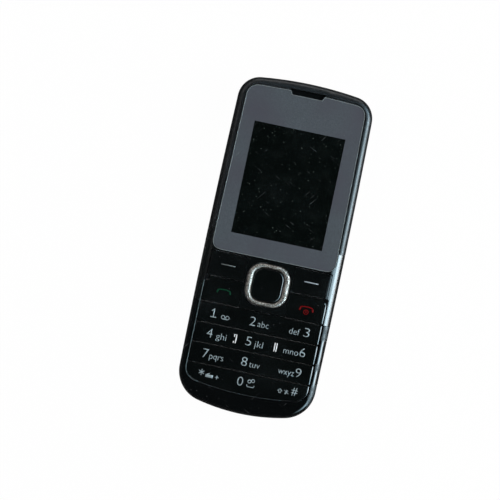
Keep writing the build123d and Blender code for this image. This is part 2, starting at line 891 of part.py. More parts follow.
# Shields: drawn metal cans, open towards the board, with a pattern of vents
def shield_can(width, length, y_place):
    """A thin metal can under the board, vented through its floor."""
    low = board_low - shield_height
    with BuildPart() as can:
        with BuildSketch(Plane.XY.offset(low)):
            with Locations((0, y_place)):
                RectangleRounded(width, length, shield_corner_round)
        extrude(amount=shield_height)
        offset(amount=-shield_wall, openings=can.faces().sort_by(Axis.Z)[-1], mode=Mode.REPLACE)
        with BuildSketch(Plane.XY.offset(low - overrun)):
            with Locations((0, y_place)):
                with GridLocations(shield_vent_pitch, shield_vent_pitch, shield_vent_columns,
                                   shield_vent_rows):
                    Circle(shield_vent_radius)
        extrude(amount=overrun + shield_height / 2, mode=Mode.SUBTRACT)
    return can


shield_radio = shield_can(shield_radio_width, shield_radio_length, body_length * shield_radio_share)
save(shield_radio, "shield_radio")
shield_power = shield_can(shield_power_width, shield_power_length, body_length * shield_power_share)
save(shield_power, "shield_power")

# Memory card and the reader under the board that it slides into
with BuildPart() as card_reader:
    extrude(
        plain_block(memory_x - reader_wall, board_edge, memory_y - memory_width / 2 - reader_wall,
                    memory_y + memory_width / 2 + reader_wall, reader_low),
        amount=board_low - reader_low,
    )
    extrude(
        plain_block(memory_x - fit_gap, body_width, memory_y - memory_width / 2 - fit_gap,
                    memory_y + memory_width / 2 + fit_gap, reader_low + reader_roof),
        amount=memory_thickness + 2 * fit_gap,
        mode=Mode.SUBTRACT,
    )

save(card_reader, "card_reader")

with BuildPart() as memory_card:
    extrude(
        plain_block(memory_x, memory_x + memory_length, memory_y - memory_width / 2,
                    memory_y + memory_width / 2, reader_low + reader_roof + fit_gap),
        amount=memory_thickness,
    )
    chamfer(memory_card.edges().filter_by(Axis.Z).group_by(Axis.X)[0].sort_by(Axis.Y)[0], memory_corner)

save(memory_card, "memory_card")

# Vibration motor in its cradle, and the off-centre weight on its shaft
with BuildPart() as motor_cradle:
    with BuildSketch(Plane.YZ.offset(motor_left + cradle_setback)):
        with Locations((motor_y, (motor_level + cavity_low) / 2)):
            Rectangle(2 * motor_radius + 2 * cradle_wall, motor_level - cavity_low)
        with Locations((motor_y, motor_level)):
            Circle(motor_radius, mode=Mode.SUBTRACT)
    extrude(amount=motor_length - 2 * cradle_setback)

save(motor_cradle, "motor_cradle")

with BuildPart() as vibration_motor:
    with BuildSketch(Plane.YZ.offset(motor_left)):
        with Locations((motor_y, motor_level)):
            Circle(motor_radius)
    extrude(amount=motor_length)
    chamfer(vibration_motor.edges().filter_by(GeomType.CIRCLE), motor_radius * motor_bevel_share)
    with BuildSketch(Plane.YZ.offset(motor_left + motor_length)):
        with Locations((motor_y, motor_level)):
            Circle(motor_shaft_radius + pin_gap)
    extrude(amount=-motor_length / 2, mode=Mode.SUBTRACT)

save(vibration_motor, "vibration_motor")

with BuildPart() as vibration_weight:
    with BuildSketch(Plane.YZ.offset(motor_left + motor_length / 2 + motor_shaft_radius)):
        with Locations((motor_y, motor_level)):
            Circle(motor_shaft_radius)
    extrude(amount=motor_length / 2 - motor_shaft_radius + weight_gap + weight_length / 2)
    with BuildSketch(Plane.YZ.offset(motor_left + motor_length + weight_gap)):
        with Locations((motor_y, motor_level)):
            Circle(weight_radius)
            with Locations((0, weight_radius / 2 + weight_hub_radius * weight_cut_share)):
                Rectangle(2 * weight_radius, weight_radius, mode=Mode.SUBTRACT)
            Circle(weight_hub_radius)
    extrude(amount=weight_length)

save(vibration_weight, "vibration_weight")

# Microphone in its rubber boot, under the board at the lower end
with BuildPart() as microphone:
    with BuildSketch(Plane.XY.offset(board_low - microphone_height)):
        with Locations((microphone_place, microphone_y)):
            Circle(microphone_radius)
    extrude(amount=microphone_height)

save(microphone, "microphone")

with BuildPart() as microphone_boot:
    with BuildSketch(Plane.XY.offset(board_low - microphone_height - boot_wall)):
        with Locations((microphone_place, microphone_y)):
            Circle(microphone_radius + boot_wall)
            with Locations((0, -microphone_radius)):
                Rectangle(2 * microphone_radius, 2 * boot_wall)
    extrude(amount=microphone_height + boot_wall)
    with BuildSketch(Plane.XY.offset(board_low - microphone_height)):
        with Locations((microphone_place, microphone_y)):
            Circle(microphone_radius)
    extrude(amount=microphone_height, mode=Mode.SUBTRACT)
    add(end_bore(microphone_place, sound_level, sound_hole_radius, bottom_end - overrun, microphone_y),
        mode=Mode.SUBTRACT)

save(microphone_boot, "microphone_boot")

# Antenna carrier: a ribbed plastic block across the lower end
with BuildPart() as antenna:
    with BuildSketch(Plane.XY.offset(cavity_low)):
        with Locations((0, antenna_y)):
            RectangleRounded(2 * antenna_half, antenna_depth, antenna_round)
    extrude(amount=antenna_height)
    with BuildSketch(Plane.XY.offset(cavity_low + antenna_height)):
        with Locations((0, antenna_y)):
            with GridLocations(antenna_half, 0, 3, 1):
                RectangleRounded(antenna_rib_width, antenna_depth - antenna_round,
                                 antenna_rib_width * rib_round_share)
    extrude(amount=antenna_rib_height)

save(antenna, "antenna")

# Screws that go through the rear housing and the board into the front frame
with BuildPart() as case_screws:
    add(screw_bores(screw_head_radius, screw_head_level - screw_head_height, screw_head_level))
    add(screw_bores(screw_shank_radius, screw_head_level, board_top + screw_engagement))
    with BuildSketch(Plane.XY.offset(screw_head_level - screw_head_height)):
        with Locations(*screw_places):
            RegularPolygon(screw_socket_radius, 6)
    extrude(amount=screw_socket_depth, mode=Mode.SUBTRACT)

save(case_screws, "case_screws")

# Front frame: the chassis that carries the display, the window and the board
with BuildPart() as front_frame:
    extrude(body_outline(rear_shell_height + fit_gap, frame_inset),
            amount=window_low - rear_shell_height - fit_gap)
    # Space of the board and of everything below it
    extrude(body_outline(rear_shell_height, board_inset - fit_gap), amount=board_top - rear_shell_height,
            mode=Mode.SUBTRACT)
    # Pockets of the display and the earpiece
    extrude(
        plain_block(-display_width / 2 - fit_gap, display_width / 2 + fit_gap, display_bottom - fit_gap,
                    display_top + fit_gap, board_top - fit_gap),
        amount=window_low,
        mode=Mode.SUBTRACT,
    )
    with BuildSketch(Plane.XY.offset(board_top - fit_gap)):
        with Locations((0, earpiece_y)):
            RectangleRounded(earpiece_width + 2 * fit_gap, earpiece_height + 2 * fit_gap,
                             earpiece_round + fit_gap)
    extrude(amount=window_low, mode=Mode.SUBTRACT)
    # Well of the keys' plungers
    extrude(
        plain_block(-key_well_half, key_well_half, key_well_low, display_bottom - fit_gap - frame_wall,
                    board_top - fit_gap),
        amount=window_low,
        mode=Mode.SUBTRACT,
    )
    # Lower top under the key caps and under the fascia's crossbar
    extrude(keypad_outline(key_frame_top, bezel_key_gap + frame_wall), amount=window_low, mode=Mode.SUBTRACT)
    extrude(
        plain_block(-body_width, body_width, row_lines[-2], display_bottom - fit_gap - frame_wall,
                    key_frame_top),
        amount=window_low,
        mode=Mode.SUBTRACT,
    )
    add(screw_bores(screw_shank_radius + pin_gap, board_top - fit_gap,
                    board_top + screw_engagement + fit_gap),
        mode=Mode.SUBTRACT)
    # Ways through the ring for the sockets, the memory card, the door's knuckle and the microphone's sound
    add(usb_prism(jack_wall_gap, socket_front - usb_depth, top_end + overrun), mode=Mode.SUBTRACT)
    extrude(
        plain_block(0.0, body_width, memory_y - memory_width / 2 - reader_wall - fit_gap,
                    memory_y + memory_width / 2 + reader_wall + fit_gap, reader_low - fit_gap),
        amount=board_low - reader_low + fit_gap,
        mode=Mode.SUBTRACT,
    )
    add(end_bore(microphone_place, sound_level, sound_hole_radius, bottom_end - overrun, microphone_y),
        mode=Mode.SUBTRACT)
    with BuildSketch(Plane.XY.offset(door_low - door_pin_grip - fit_gap)):
        with Locations((door_pin_x, door_pin_y)):
            Circle(door_sweep_radius)
    extrude(amount=door_height + 2 * door_pin_grip, mode=Mode.SUBTRACT)

save(front_frame, "front_frame")

# Display: backlight, glass in two layers with the driver's ledge, and the foam gasket on it
with BuildPart() as display_backlight:
    extrude(
        plain_block(-display_width / 2, display_width / 2, display_bottom, display_top, board_top),
        amount=backlight_thickness,
    )
    fillet(display_backlight.edges().filter_by(Axis.Z), panel_setback)

save(display_backlight, "display_backlight")

with BuildPart() as display_panel:
    extrude(
        plain_block(-display_width / 2 + panel_setback, display_width / 2 - panel_setback,
                    display_bottom + panel_setback, display_top - panel_setback, panel_low),
        amount=panel_thickness / 2,
    )
    extrude(
        plain_block(-display_width / 2 + panel_setback, display_width / 2 - panel_setback,
                    active_bottom - gasket_band, display_top - panel_setback,
                    panel_low + panel_thickness / 2),
        amount=panel_thickness / 2,
    )

save(display_panel, "display_panel")

with BuildPart() as display_gasket:
    with BuildSketch(Plane.XY.offset(panel_top)):
        add(plain_block(-active_width / 2 - gasket_band, active_width / 2 + gasket_band,
                        active_bottom - gasket_band, active_top + gasket_band, panel_top))
        add(plain_block(-active_width / 2, active_width / 2, active_bottom, active_top, panel_top),
            mode=Mode.SUBTRACT)
    extrude(amount=gasket_thickness)

save(display_gasket, "display_gasket")

# Earpiece and the mesh in the window's notch
with BuildPart() as earpiece_speaker:
    with BuildSketch(Plane.XY.offset(board_top)):
        with Locations((0, earpiece_y)):
            RectangleRounded(earpiece_width, earpiece_height, earpiece_round)
    extrude(amount=window_low - board_top - fit_gap)
    with BuildSketch(Plane.XY.offset(window_low - fit_gap)):
        with Locations((0, earpiece_y)):
            SlotOverall(earpiece_width * earpiece_port_share, earpiece_height * earpiece_port_share / 2)
    extrude(amount=-mesh_thickness, mode=Mode.SUBTRACT)

save(earpiece_speaker, "earpiece_speaker")

with BuildPart() as earpiece_mesh:
    extrude(notch_outline(window_low, notch_reach, -fit_gap / 2), amount=mesh_thickness)

save(earpiece_mesh, "earpiece_mesh")

# Display window: a clear lens with a bevelled edge and the notch for the earpiece
with BuildPart() as display_window:
    extrude(window_outline(window_low), amount=window_thickness)
    chamfer(display_window.faces().sort_by(Axis.Z)[-1].edges(), window_edge_bevel)
    extrude(notch_outline(window_low - overrun, 2 * notch_reach), amount=2 * overrun + window_thickness,
            mode=Mode.SUBTRACT)

save(display_window, "display_window")


# The three shells of the front share one hollow form and one way of being cut across
with BuildPart() as front_hollow:
    extrude(body_outline(rear_shell_height - overrun, shell_wall),
            amount=face_top - face_wall - rear_shell_height + overrun)


def front_shell(y_low, y_high):
    """The part of the hollow front shell between two seams across the phone."""
    with BuildPart() as shell:
        add(outer_form.part)
        add(front_hollow.part, mode=Mode.SUBTRACT)
        extrude(
            plain_block(-body_width, body_width, y_low, y_high, rear_shell_height + seam_gap),
            amount=face_top,
            mode=Mode.INTERSECT,
        )
    return shell.part


# Upper bezel round the window
with BuildPart() as upper_bezel:
    add(front_shell(upper_seam + seam_gap / 2, body_length))
    extrude(window_outline(face_top - 2 * face_wall, window_gap), amount=2 * face_wall + overrun,
            mode=Mode.SUBTRACT)
    extrude(notch_outline(window_low, notch_reach), amount=2 * face_wall, mode=Mode.SUBTRACT)
    add(usb_prism(jack_wall_gap, socket_front - usb_depth, top_end + overrun), mode=Mode.SUBTRACT)

save(upper_bezel, "upper_bezel")

# Middle fascia: side rails, a crossbar under the window and a collar round the navigation ring
with BuildPart() as key_windows:
    with BuildSketch(Plane.XY.offset(rear_shell_height)):
        with BuildLine():
            Polyline(
                (collar_half_width, fascia_key_top), (soft_key_half + key_gap, fascia_key_top),
                (soft_key_half + key_gap, call_key_top), (keypad_half + key_gap, call_key_top),
                (keypad_half + key_gap, lower_seam - overrun), (collar_half_width, lower_seam - overrun),
                (collar_half_width, fascia_key_top),
            )
        make_face()
        mirror(about=Plane.YZ)
    extrude(amount=face_top)

with BuildPart() as middle_fascia:
    add(front_shell(lower_seam + seam_gap / 2, upper_seam - seam_gap / 2))
    extrude(window_outline(window_low, window_gap / 2), amount=2 * face_wall, mode=Mode.SUBTRACT)
    # Crossbar under the window's lower edge
    extrude(
        plain_block(-body_width / 2 + shell_wall / 2, body_width / 2 - shell_wall / 2, fascia_key_top,
                    display_bottom - 2 * fit_gap - frame_wall, key_frame_top + fit_gap),
        amount=window_low - key_frame_top - fit_gap,
    )
    extrude(ring_outline(face_top - face_wall, ring_clearance + collar_wall), amount=face_wall)
    add(key_windows.part, mode=Mode.SUBTRACT)
    extrude(ring_outline(rear_shell_height, ring_clearance), amount=face_top, mode=Mode.SUBTRACT)

save(middle_fascia, "middle_fascia")

# Lower bezel round the number keys, with the chin and the card door's pocket
with BuildPart() as lower_bezel:
    add(front_shell(-body_length, lower_seam - seam_gap / 2))
    extrude(keypad_outline(rear_shell_height, bezel_key_gap), amount=face_top, mode=Mode.SUBTRACT)
    add(door_region(door_gap, door_sweep_radius), mode=Mode.SUBTRACT)
    with BuildSketch(Plane.XY.offset(door_low - door_pin_grip)):
        with Locations((door_pin_x, door_pin_y)):
            Circle(door_pin_radius + pin_gap / 2)
    extrude(amount=door_height + 2 * door_pin_grip, mode=Mode.SUBTRACT)
    add(end_bore(microphone_place, sound_level, sound_hole_radius, bottom_end - overrun, microphone_y),
        mode=Mode.SUBTRACT)

save(lower_bezel, "lower_bezel")

# Card door, cut from the same outer form, and the pin that it swings on
with BuildPart() as card_door:
    add(outer_form.part)
    extrude(body_outline(-overrun, door_thickness), amount=face_top + 2 * overrun, mode=Mode.SUBTRACT)
    with BuildSketch(Plane.XY.offset(door_low)):
        with Locations((door_pin_x, door_pin_y)):
            Circle(door_knuckle_radius)
    extrude(amount=door_height)
    add(door_region(0.0, door_knuckle_radius), mode=Mode.INTERSECT)
    with BuildSketch(Plane.XY.offset(door_low - overrun)):
        with Locations((door_pin_x, door_pin_y)):
            Circle(door_pin_radius + pin_gap)
    extrude(amount=door_height + 2 * overrun, mode=Mode.SUBTRACT)
    # Scoop for a fingernail at the free end
    with Locations((body_width / 2 + door_nail_radius - door_nail_depth, door_top - door_nail_radius,
                    door_low + door_height / 2)):
        Cylinder(door_nail_radius, door_height * door_nail_share, mode=Mode.SUBTRACT)

save(card_door, "card_door")

with BuildPart() as door_pin:
    with BuildSketch(Plane.XY.offset(door_low - door_pin_grip + pin_gap)):
        with Locations((door_pin_x, door_pin_y)):
            Circle(door_pin_radius)
    extrude(amount=door_height + 2 * door_pin_grip - 2 * pin_gap)

save(door_pin, "door_pin")

# Snap domes on their film, and the light guide that lies on it round the domes
with BuildPart() as dome_sheet:
    extrude(
        plain_block(-key_well_half + fit_gap, key_well_half - fit_gap, key_well_low + fit_gap,
                    display_bottom - 2 * fit_gap - frame_wall, board_top),
        amount=film_thickness,
    )
    with BuildSketch(Plane.XY.offset(film_top)):
        with Locations(*dome_places):
            RegularPolygon(dome_radius, dome_corner_count)
    extrude(amount=dome_height, taper=dome_taper)

save(dome_sheet, "dome_sheet")

with BuildPart() as light_guide:
    with BuildSketch(Plane.XY.offset(film_top)):
        add(plain_block(-key_well_half + fit_gap, key_well_half - fit_gap, key_well_low + fit_gap,
                        display_bottom - 2 * fit_gap - frame_wall, film_top))
        with Locations(*dome_places):
            RegularPolygon(dome_radius + fit_gap, dome_corner_count, mode=Mode.SUBTRACT)
    extrude(amount=mat_thickness)

save(light_guide, "light_guide")

# Selection keys: flat glossy caps, one on each side of the window's lower edge
for side, side_name in ((-1, "left"), (1, "right")):
    with BuildPart() as soft_key:
        inner = side * (collar_half_width + key_gap)
        outer = side * soft_key_half
        extrude(
            plain_block(min(inner, outer), max(inner, outer), call_key_top + key_gap / 2,
                        fascia_key_top - key_gap, cap_low),
            amount=face_top - cap_low,
        )
        fillet(soft_key.edges().filter_by(Axis.Z), cap_corner_round)
        fillet(soft_key.faces().sort_by(Axis.Z)[-1].edges(), cap_bevel / 2)
        with BuildSketch(Plane.XY.offset(nub_low)):
            with Locations((side * soft_dome_x, soft_dome_y)):
                Circle(nub_radius)
        extrude(amount=cap_low - nub_low)
    save(soft_key, "soft_key_" + side_name)


def crowned_bar(y_low, y_high, level, height, crown):
    """A bar across the phone whose top is a shallow arch from its lower to its upper edge."""
    with BuildPart() as bar:
        with BuildSketch(Plane.YZ.offset(-body_width)):
            with BuildLine():
                Line((y_low, level + height - crown), (y_low, level))
                Line((y_low, level), (y_high, level))
                Line((y_high, level), (y_high, level + height - crown))
                ThreePointArc((y_high, level + height - crown), ((y_low + y_high) / 2, level + height),
                              (y_low, level + height - crown))
            make_face()
        extrude(amount=2 * body_width)
    return bar.part


# Call and end keys: crowned caps, rounded at the outer upper corner
for side, key_name in ((-1, "call_key"), (1, "end_key")):
    with BuildPart() as phone_key:
        inner = side * (collar_half_width + key_gap)
        outer = side * keypad_half
        extrude(
            plain_block(min(inner, outer), max(inner, outer), lower_seam + key_gap / 2,
                        call_key_top - key_gap / 2, cap_low),
            amount=number_cap_height,
        )
        upright_edges = phone_key.edges().filter_by(Axis.Z)
        fillet(upright_edges.sort_by_distance((outer, call_key_top, cap_low))[0], call_key_round)
        fillet(phone_key.edges().filter_by(Axis.Z).sort_by_distance((inner, lower_seam, cap_low))[0],
               cap_corner_round)
        add(crowned_bar(lower_seam, call_key_top, cap_low, number_cap_height, cap_crown), mode=Mode.INTERSECT)
        with BuildSketch(Plane.XY.offset(nub_low)):
            with Locations((side * soft_dome_x, call_dome_y)):
                Circle(nub_radius)
        extrude(amount=cap_low - nub_low)
    save(phone_key, key_name)

# Navigation: the carrier plate with four nubs, the ring on it and the key inside
with BuildPart() as nav_carrier:
    extrude(ring_outline(pad_low, -carrier_inset), amount=carrier_thickness)
    with BuildSketch(Plane.XY.offset(nub_low)):
        with Locations((0, navigation_place)):
            with PolarLocations(ring_width * carrier_nub_reach_share, 4):
                Circle(nub_radius)
    extrude(amount=nub_height)
    with BuildSketch(Plane.XY.offset(nub_low - overrun)):
        with Locations((0, navigation_place)):
            Circle(carrier_hole_radius)
    extrude(amount=2 * overrun, mode=Mode.SUBTRACT)

save(nav_carrier, "nav_carrier")

ring_inner_width = ring_width - 2 * ring_band_side
ring_inner_height = ring_height - 2 * ring_band_end
ring_inner_round = ring_round - ring_band_end
with BuildPart() as nav_ring:
    extrude(ring_outline(ring_low, 0.0), amount=phone_thickness - ring_low)
    with BuildSketch(Plane.XY.offset(ring_low)):
        with Locations((0, navigation_place)):
            RectangleRounded(ring_inner_width, ring_inner_height, ring_inner_round)
    extrude(amount=phone_thickness, mode=Mode.SUBTRACT)
    fillet(nav_ring.faces().sort_by(Axis.Z)[-1].edges(), ring_edge_round)

save(nav_ring, "nav_ring")

with BuildPart() as centre_key:
    with BuildSketch(Plane.XY.offset(centre_cap_low)):
        with Locations((0, navigation_place)):
            RectangleRounded(ring_inner_width - 2 * centre_key_gap, ring_inner_height - 2 * centre_key_gap,
                             ring_inner_round - centre_key_gap)
    extrude(amount=face_top + centre_key_rise - centre_cap_low)
    chamfer(centre_key.faces().sort_by(Axis.Z)[-1].edges(), centre_key_bevel)
    with BuildSketch(Plane.XY.offset(nub_low)):
        with Locations((0, navigation_place)):
            Circle(centre_stem_radius)
    extrude(amount=centre_cap_low - nub_low)

save(centre_key, "centre_key")

# Number rows: each a crowned strip that rocks on the saddle of its silicone pad
for number in range(1, len(row_lines)):
    row_high = row_lines[number - 1] - key_gap / 2
    row_low = row_lines[number] + key_gap / 2 * (number < len(row_lines) - 1)
    row_middle = row_middles[number - 1]
    with BuildPart() as key_row:
        extrude(keypad_outline(cap_low), amount=number_cap_height)
        add(crowned_bar(row_low, row_high, cap_low, number_cap_height, cap_crown), mode=Mode.INTERSECT)
        top_ends = key_row.faces().filter_by(GeomType.CYLINDER).sort_by(Axis.Z)[-1].edges()
        end_edges = top_ends.filter_by(lambda edge: abs(edge.center().X) > keypad_half / 2)
        chamfer(end_edges.sort_by(Axis.X)[0], cap_bevel)
        chamfer(key_row.edges().sort_by_distance((keypad_half, row_middle, cap_top))[0], cap_bevel)
        # Two upright ridges that the thumb feels on either side of the middle digit
        if number == feel_ridge_row:
            with BuildSketch(Plane.XY.offset(cap_top - cap_crown)):
                with Locations((-feel_ridge_place, row_middle), (feel_ridge_place, row_middle)):
                    SlotOverall(feel_ridge_length, feel_ridge_width, rotation=90)
            extrude(amount=cap_crown + feel_ridge_rise)
    save(key_row, "key_row_" + str(number))

    with BuildPart() as row_pad:
        with BuildSketch(Plane.XY.offset(pad_low)):
            with Locations((0, row_middle)):
                SlotOverall(2 * pad_half, pad_depth)
        extrude(amount=pad_web)
        with BuildSketch(Plane.XY.offset(nub_low)):
            with Locations((0, row_middle)):
                with GridLocations(number_dome_x, 0, 3, 1):
                    Circle(nub_radius)
        extrude(amount=nub_height)
        with BuildSketch(Plane.XY.offset(pad_top)):
            with Locations((0, row_middle)):
                Rectangle(saddle_width, pad_depth - nub_radius)
        extrude(amount=saddle_height - saddle_gap)
    save(row_pad, "row_pad_" + str(number))
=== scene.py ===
"""Looks of a feature phone with keys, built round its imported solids, in metres."""
import logging
import math
from dataclasses import dataclass
from enum import Enum

import bmesh
import bpy
import numpy as np
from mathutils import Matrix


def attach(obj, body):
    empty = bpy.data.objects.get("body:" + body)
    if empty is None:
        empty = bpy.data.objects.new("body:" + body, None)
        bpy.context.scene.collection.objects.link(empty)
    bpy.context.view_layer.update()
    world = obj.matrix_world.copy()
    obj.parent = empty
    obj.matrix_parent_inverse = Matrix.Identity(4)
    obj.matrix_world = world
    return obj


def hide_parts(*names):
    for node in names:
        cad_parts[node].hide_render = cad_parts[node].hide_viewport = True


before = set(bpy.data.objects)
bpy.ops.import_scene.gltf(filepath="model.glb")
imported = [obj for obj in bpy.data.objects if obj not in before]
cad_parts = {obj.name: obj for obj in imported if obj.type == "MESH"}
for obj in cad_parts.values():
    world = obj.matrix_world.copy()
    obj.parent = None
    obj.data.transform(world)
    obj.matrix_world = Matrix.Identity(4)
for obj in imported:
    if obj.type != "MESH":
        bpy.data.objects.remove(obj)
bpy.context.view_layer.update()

MM = 0.001
LOG = logging.getLogger("phone")
Point = tuple[float, float]
Triple = tuple[float, float, float]
Colour = Triple
Socket = bpy.types.NodeSocket
Surface = tuple[np.ndarray, np.ndarray]
Flat = tuple[np.ndarray, object]
WHITE: Colour = (1.0, 1.0, 1.0)


class Side(Enum):
    """Left or right half of the phone, seen from its face."""

    LEFT = -1
    RIGHT = 1


def put(name: str, data: bpy.types.ID) -> bpy.types.Object:
    """Make an object of some data and link it to the scene.

    Args:
        name: the object's name.
        data: its mesh, lamp or camera.

    Returns:
        The object.
    """
    made = bpy.data.objects.new(name, data)
    bpy.context.scene.collection.objects.link(made)
    return made


def scaled(colour: Colour, share: float) -> Colour:
    """A colour with every channel times a share, and no more than 1."""
    return tuple(min(1.0, channel * share) for channel in colour)


# Materials


class NodeBook:
    """Short ways to add shader nodes to one material or world."""

    def __init__(self, owner: bpy.types.Material | bpy.types.World) -> None:
        """Start with an empty tree and its output.

        Args:
            owner: what the nodes belong to.
        """
        owner.use_nodes = True
        self.owner, self.tree = owner, owner.node_tree
        self.tree.nodes.clear()
        kind = "World" if isinstance(owner, bpy.types.World) else "Material"
        self.output = self.add("ShaderNodeOutput" + kind)
        self.place = self.add("ShaderNodeTexCoord").outputs["Object"]

    def add(self, kind: str, feeds: dict[str, object] | None = None, **settings: object) -> bpy.types.Node:
        """Add a node, set its plain properties and feed its inputs.

        Args:
            kind: the node's Blender type name.
            feeds: sockets or plain values for its inputs, by the input's name.
            settings: properties to set on the node.

        Returns:
            The new node.
        """
        node = self.tree.nodes.new(kind)
        for key, value in settings.items():
            setattr(node, key, value)
        for name, source in (feeds or {}).items():
            self.join(source, node.inputs[name])
        return node

    def join(self, source: object, socket: Socket) -> None:
        """Link a socket, or set a plain value, on an input.

        Args:
            source: an output socket or a plain value.
            socket: the input that takes it.
        """
        if isinstance(source, Socket):
            self.tree.links.new(source, socket)
        else:
            socket.default_value = source

    def done(self, shader: bpy.types.Node) -> bpy.types.Material | bpy.types.World:
        """Join a shader to the output and give back what the nodes belong to."""
        self.join(shader.outputs[0], self.output.inputs["Surface"])
        return self.owner

    def axes(self) -> bpy.types.NodeOutputs:
        """The object coordinates as sockets named X, Y and Z."""
        return self.add("ShaderNodeSeparateXYZ", {"Vector": self.place}).outputs

    def mapped(self, size: Triple, turn: Triple = (0.0, 0.0, 0.0)) -> Socket:
        """Object coordinates divided by a feature size in millimetres, after a turn in degrees."""
        turned = self.add("ShaderNodeMapping", {
            "Vector": self.place, "Rotation": tuple(math.radians(angle) for angle in turn)})
        return self.add("ShaderNodeMapping", {
            "Vector": turned.outputs["Vector"],
            "Scale": tuple(1.0 / (extent * MM) for extent in size)}).outputs["Vector"]

    def noise(self, size: float | Triple, detail: float = 2.0, turn: Triple = (0.0, 0.0, 0.0)) -> Socket:
        """Noise from 0 to 1 with features of a size in millimetres, one for all axes or one for each."""
        sizes = size if isinstance(size, tuple) else (size, size, size)
        return self.add("ShaderNodeTexNoise", {
            "Scale": 1.0, "Detail": detail, "Vector": self.mapped(sizes, turn)}).outputs["Fac"]

    def cells(self, size: float) -> Socket:
        """Distance to the nearest of scattered points, in units of their spacing in millimetres."""
        return self.add("ShaderNodeTexVoronoi", {
            "Scale": 1.0, "Vector": self.mapped((size, size, size))}).outputs["Distance"]

    def remap(self, value: object, low: float, high: float, to_low: float = 0.0, to_high: float = 1.0,
              **settings: object) -> Socket:
        """Carry a value from low and high to to_low and to_high, clamped."""
        return self.add("ShaderNodeMapRange", {
            "Value": value, "From Min": low, "From Max": high, "To Min": to_low, "To Max": to_high},
            **settings).outputs["Result"]

    def sum_up(self, operation: str, *values: object, clamp: bool = True) -> Socket:
        """Join values with one arithmetic operation, a sum or a product being clamped between 0 and 1.

        Args:
            operation: the name of the Math node's operation.
            values: sockets or numbers.
            clamp: False where a sum or a product may pass 1.

        Returns:
            The result.
        """
        result = values[0]
        for value in values[1:]:
            node = self.add("ShaderNodeMath", operation=operation)
            node.use_clamp = clamp and operation in ("ADD", "MULTIPLY")
            self.join(result, node.inputs[0])
            self.join(value, node.inputs[1])
            result = node.outputs[0]
        return result

    def blend(self, amount: object, first: object, second: object) -> Socket:
        """Mix two colours by an amount.

        Args:
            amount: 0 for the first colour and 1 for the second.
            first: a colour or a socket.
            second: a colour or a socket.

        Returns:
            The mixed colour.
        """
        node = self.add("ShaderNodeMix", {"Factor": amount}, data_type="RGBA")
        for source, socket in ((first, node.inputs[6]), (second, node.inputs[7])):
            self.join((*source, 1.0) if isinstance(source, tuple) else source, socket)
        return node.outputs[2]

    def relief(self, height: object, depth_mm: float, strength: float = 1.0,
               over: Socket | None = None) -> Socket:
        """Bump from a height between 0 and 1.

        Args:
            height: the height value.
            depth_mm: what a height of 1 stands for, in millimetres.
            strength: how much of it is used.
            over: another bump's normal that this one lies on.

        Returns:
            The normal.
        """
        feeds = {"Strength": strength, "Distance": depth_mm * MM, "Height": height}
        if over is not None:
            feeds["Normal"] = over
        return self.add("ShaderNodeBump", feeds).outputs["Normal"]

    def within(self, axis: str, low_mm: float, high_mm: float, soft_mm: float = 0.02) -> Socket:
        """1 between two places along an axis and 0 outside, with soft edges.

        Args:
            axis: X, Y or Z.
            low_mm: lower place in millimetres.
            high_mm: upper place in millimetres.
            soft_mm: width of each soft edge in millimetres.

        Returns:
            The mask.
        """
        value = self.axes()[axis]
        rise = self.remap(value, (low_mm - soft_mm) * MM, low_mm * MM)
        fall = self.remap(value, high_mm * MM, (high_mm + soft_mm) * MM, 1.0, 0.0)
        return self.sum_up("MULTIPLY", rise, fall)

    def fall(self, start_mm: float, end_mm: float) -> Socket:
        """A smooth step t^2 (3 - 2 t) between two distances from the middle line, in millimetres."""
        away = self.add("ShaderNodeMath", {"Value": self.axes()["X"]}, operation="ABSOLUTE").outputs[0]
        return self.remap(away, start_mm * MM, end_mm * MM, interpolation_type="SMOOTHSTEP")

    def disc(self, centre: Point, radius_mm: float, soft_mm: float = 0.03) -> Socket:
        """1 nearer to an upright axis than a radius and 0 outside, with a soft edge.

        Args:
            centre: the axis's place in millimetres.
            radius_mm: the radius.
            soft_mm: width of the soft edge.

        Returns:
            The mask.
        """
        axes = self.axes()
        flat = self.add("ShaderNodeCombineXYZ", {"X": axes["X"], "Y": axes["Y"]})
        away = self.add("ShaderNodeVectorMath", operation="DISTANCE")
        self.join(flat.outputs[0], away.inputs[0])
        self.join((centre[0] * MM, centre[1] * MM, 0.0), away.inputs[1])
        return self.remap(away.outputs["Value"], radius_mm * MM, (radius_mm + soft_mm) * MM, 1.0, 0.0)

    def scratches(self, spacing: float, amount: float, turn: float) -> Socket:
        """Fine straight scratches: noise drawn out along one way and cut to its crests, in patches.

        Args:
            spacing: rough spacing across the scratches in millimetres.
            amount: how many crests stay, from 0 to 1.
            turn: direction in degrees.

        Returns:
            A mask that is 1 in a scratch.
        """
        drawn_out, patch_size = 26.0, 22.0
        crest_low, crest_high, more = 0.76, 0.82, 0.1 * amount
        patch_low, patch_high = 0.54, 0.66
        lines = self.noise((spacing * drawn_out, spacing, spacing * drawn_out), 1.0, (0.0, 0.0, turn))
        patches = self.noise(spacing * patch_size, 2.0, (turn, turn, 0.0))
        crest = self.remap(lines, crest_low - more, crest_high - more)
        return self.sum_up("MULTIPLY", crest, self.remap(patches, patch_low, patch_high))

    def specks(self, spacing: float, share: float) -> Socket:
        """Small round specks of dust, in patches.

        Args:
            spacing: rough spacing of the specks in millimetres.
            share: how large each is against the spacing.

        Returns:
            A mask that is 1 in a speck.
        """
        core, patch_size, patch_low, patch_high = 0.75, 6.0, 0.45, 0.6
        dots = self.remap(self.cells(spacing), share * core, share, 1.0, 0.0)
        patches = self.remap(self.noise(spacing * patch_size, 2.0), patch_low, patch_high)
        return self.sum_up("MULTIPLY", dots, patches)


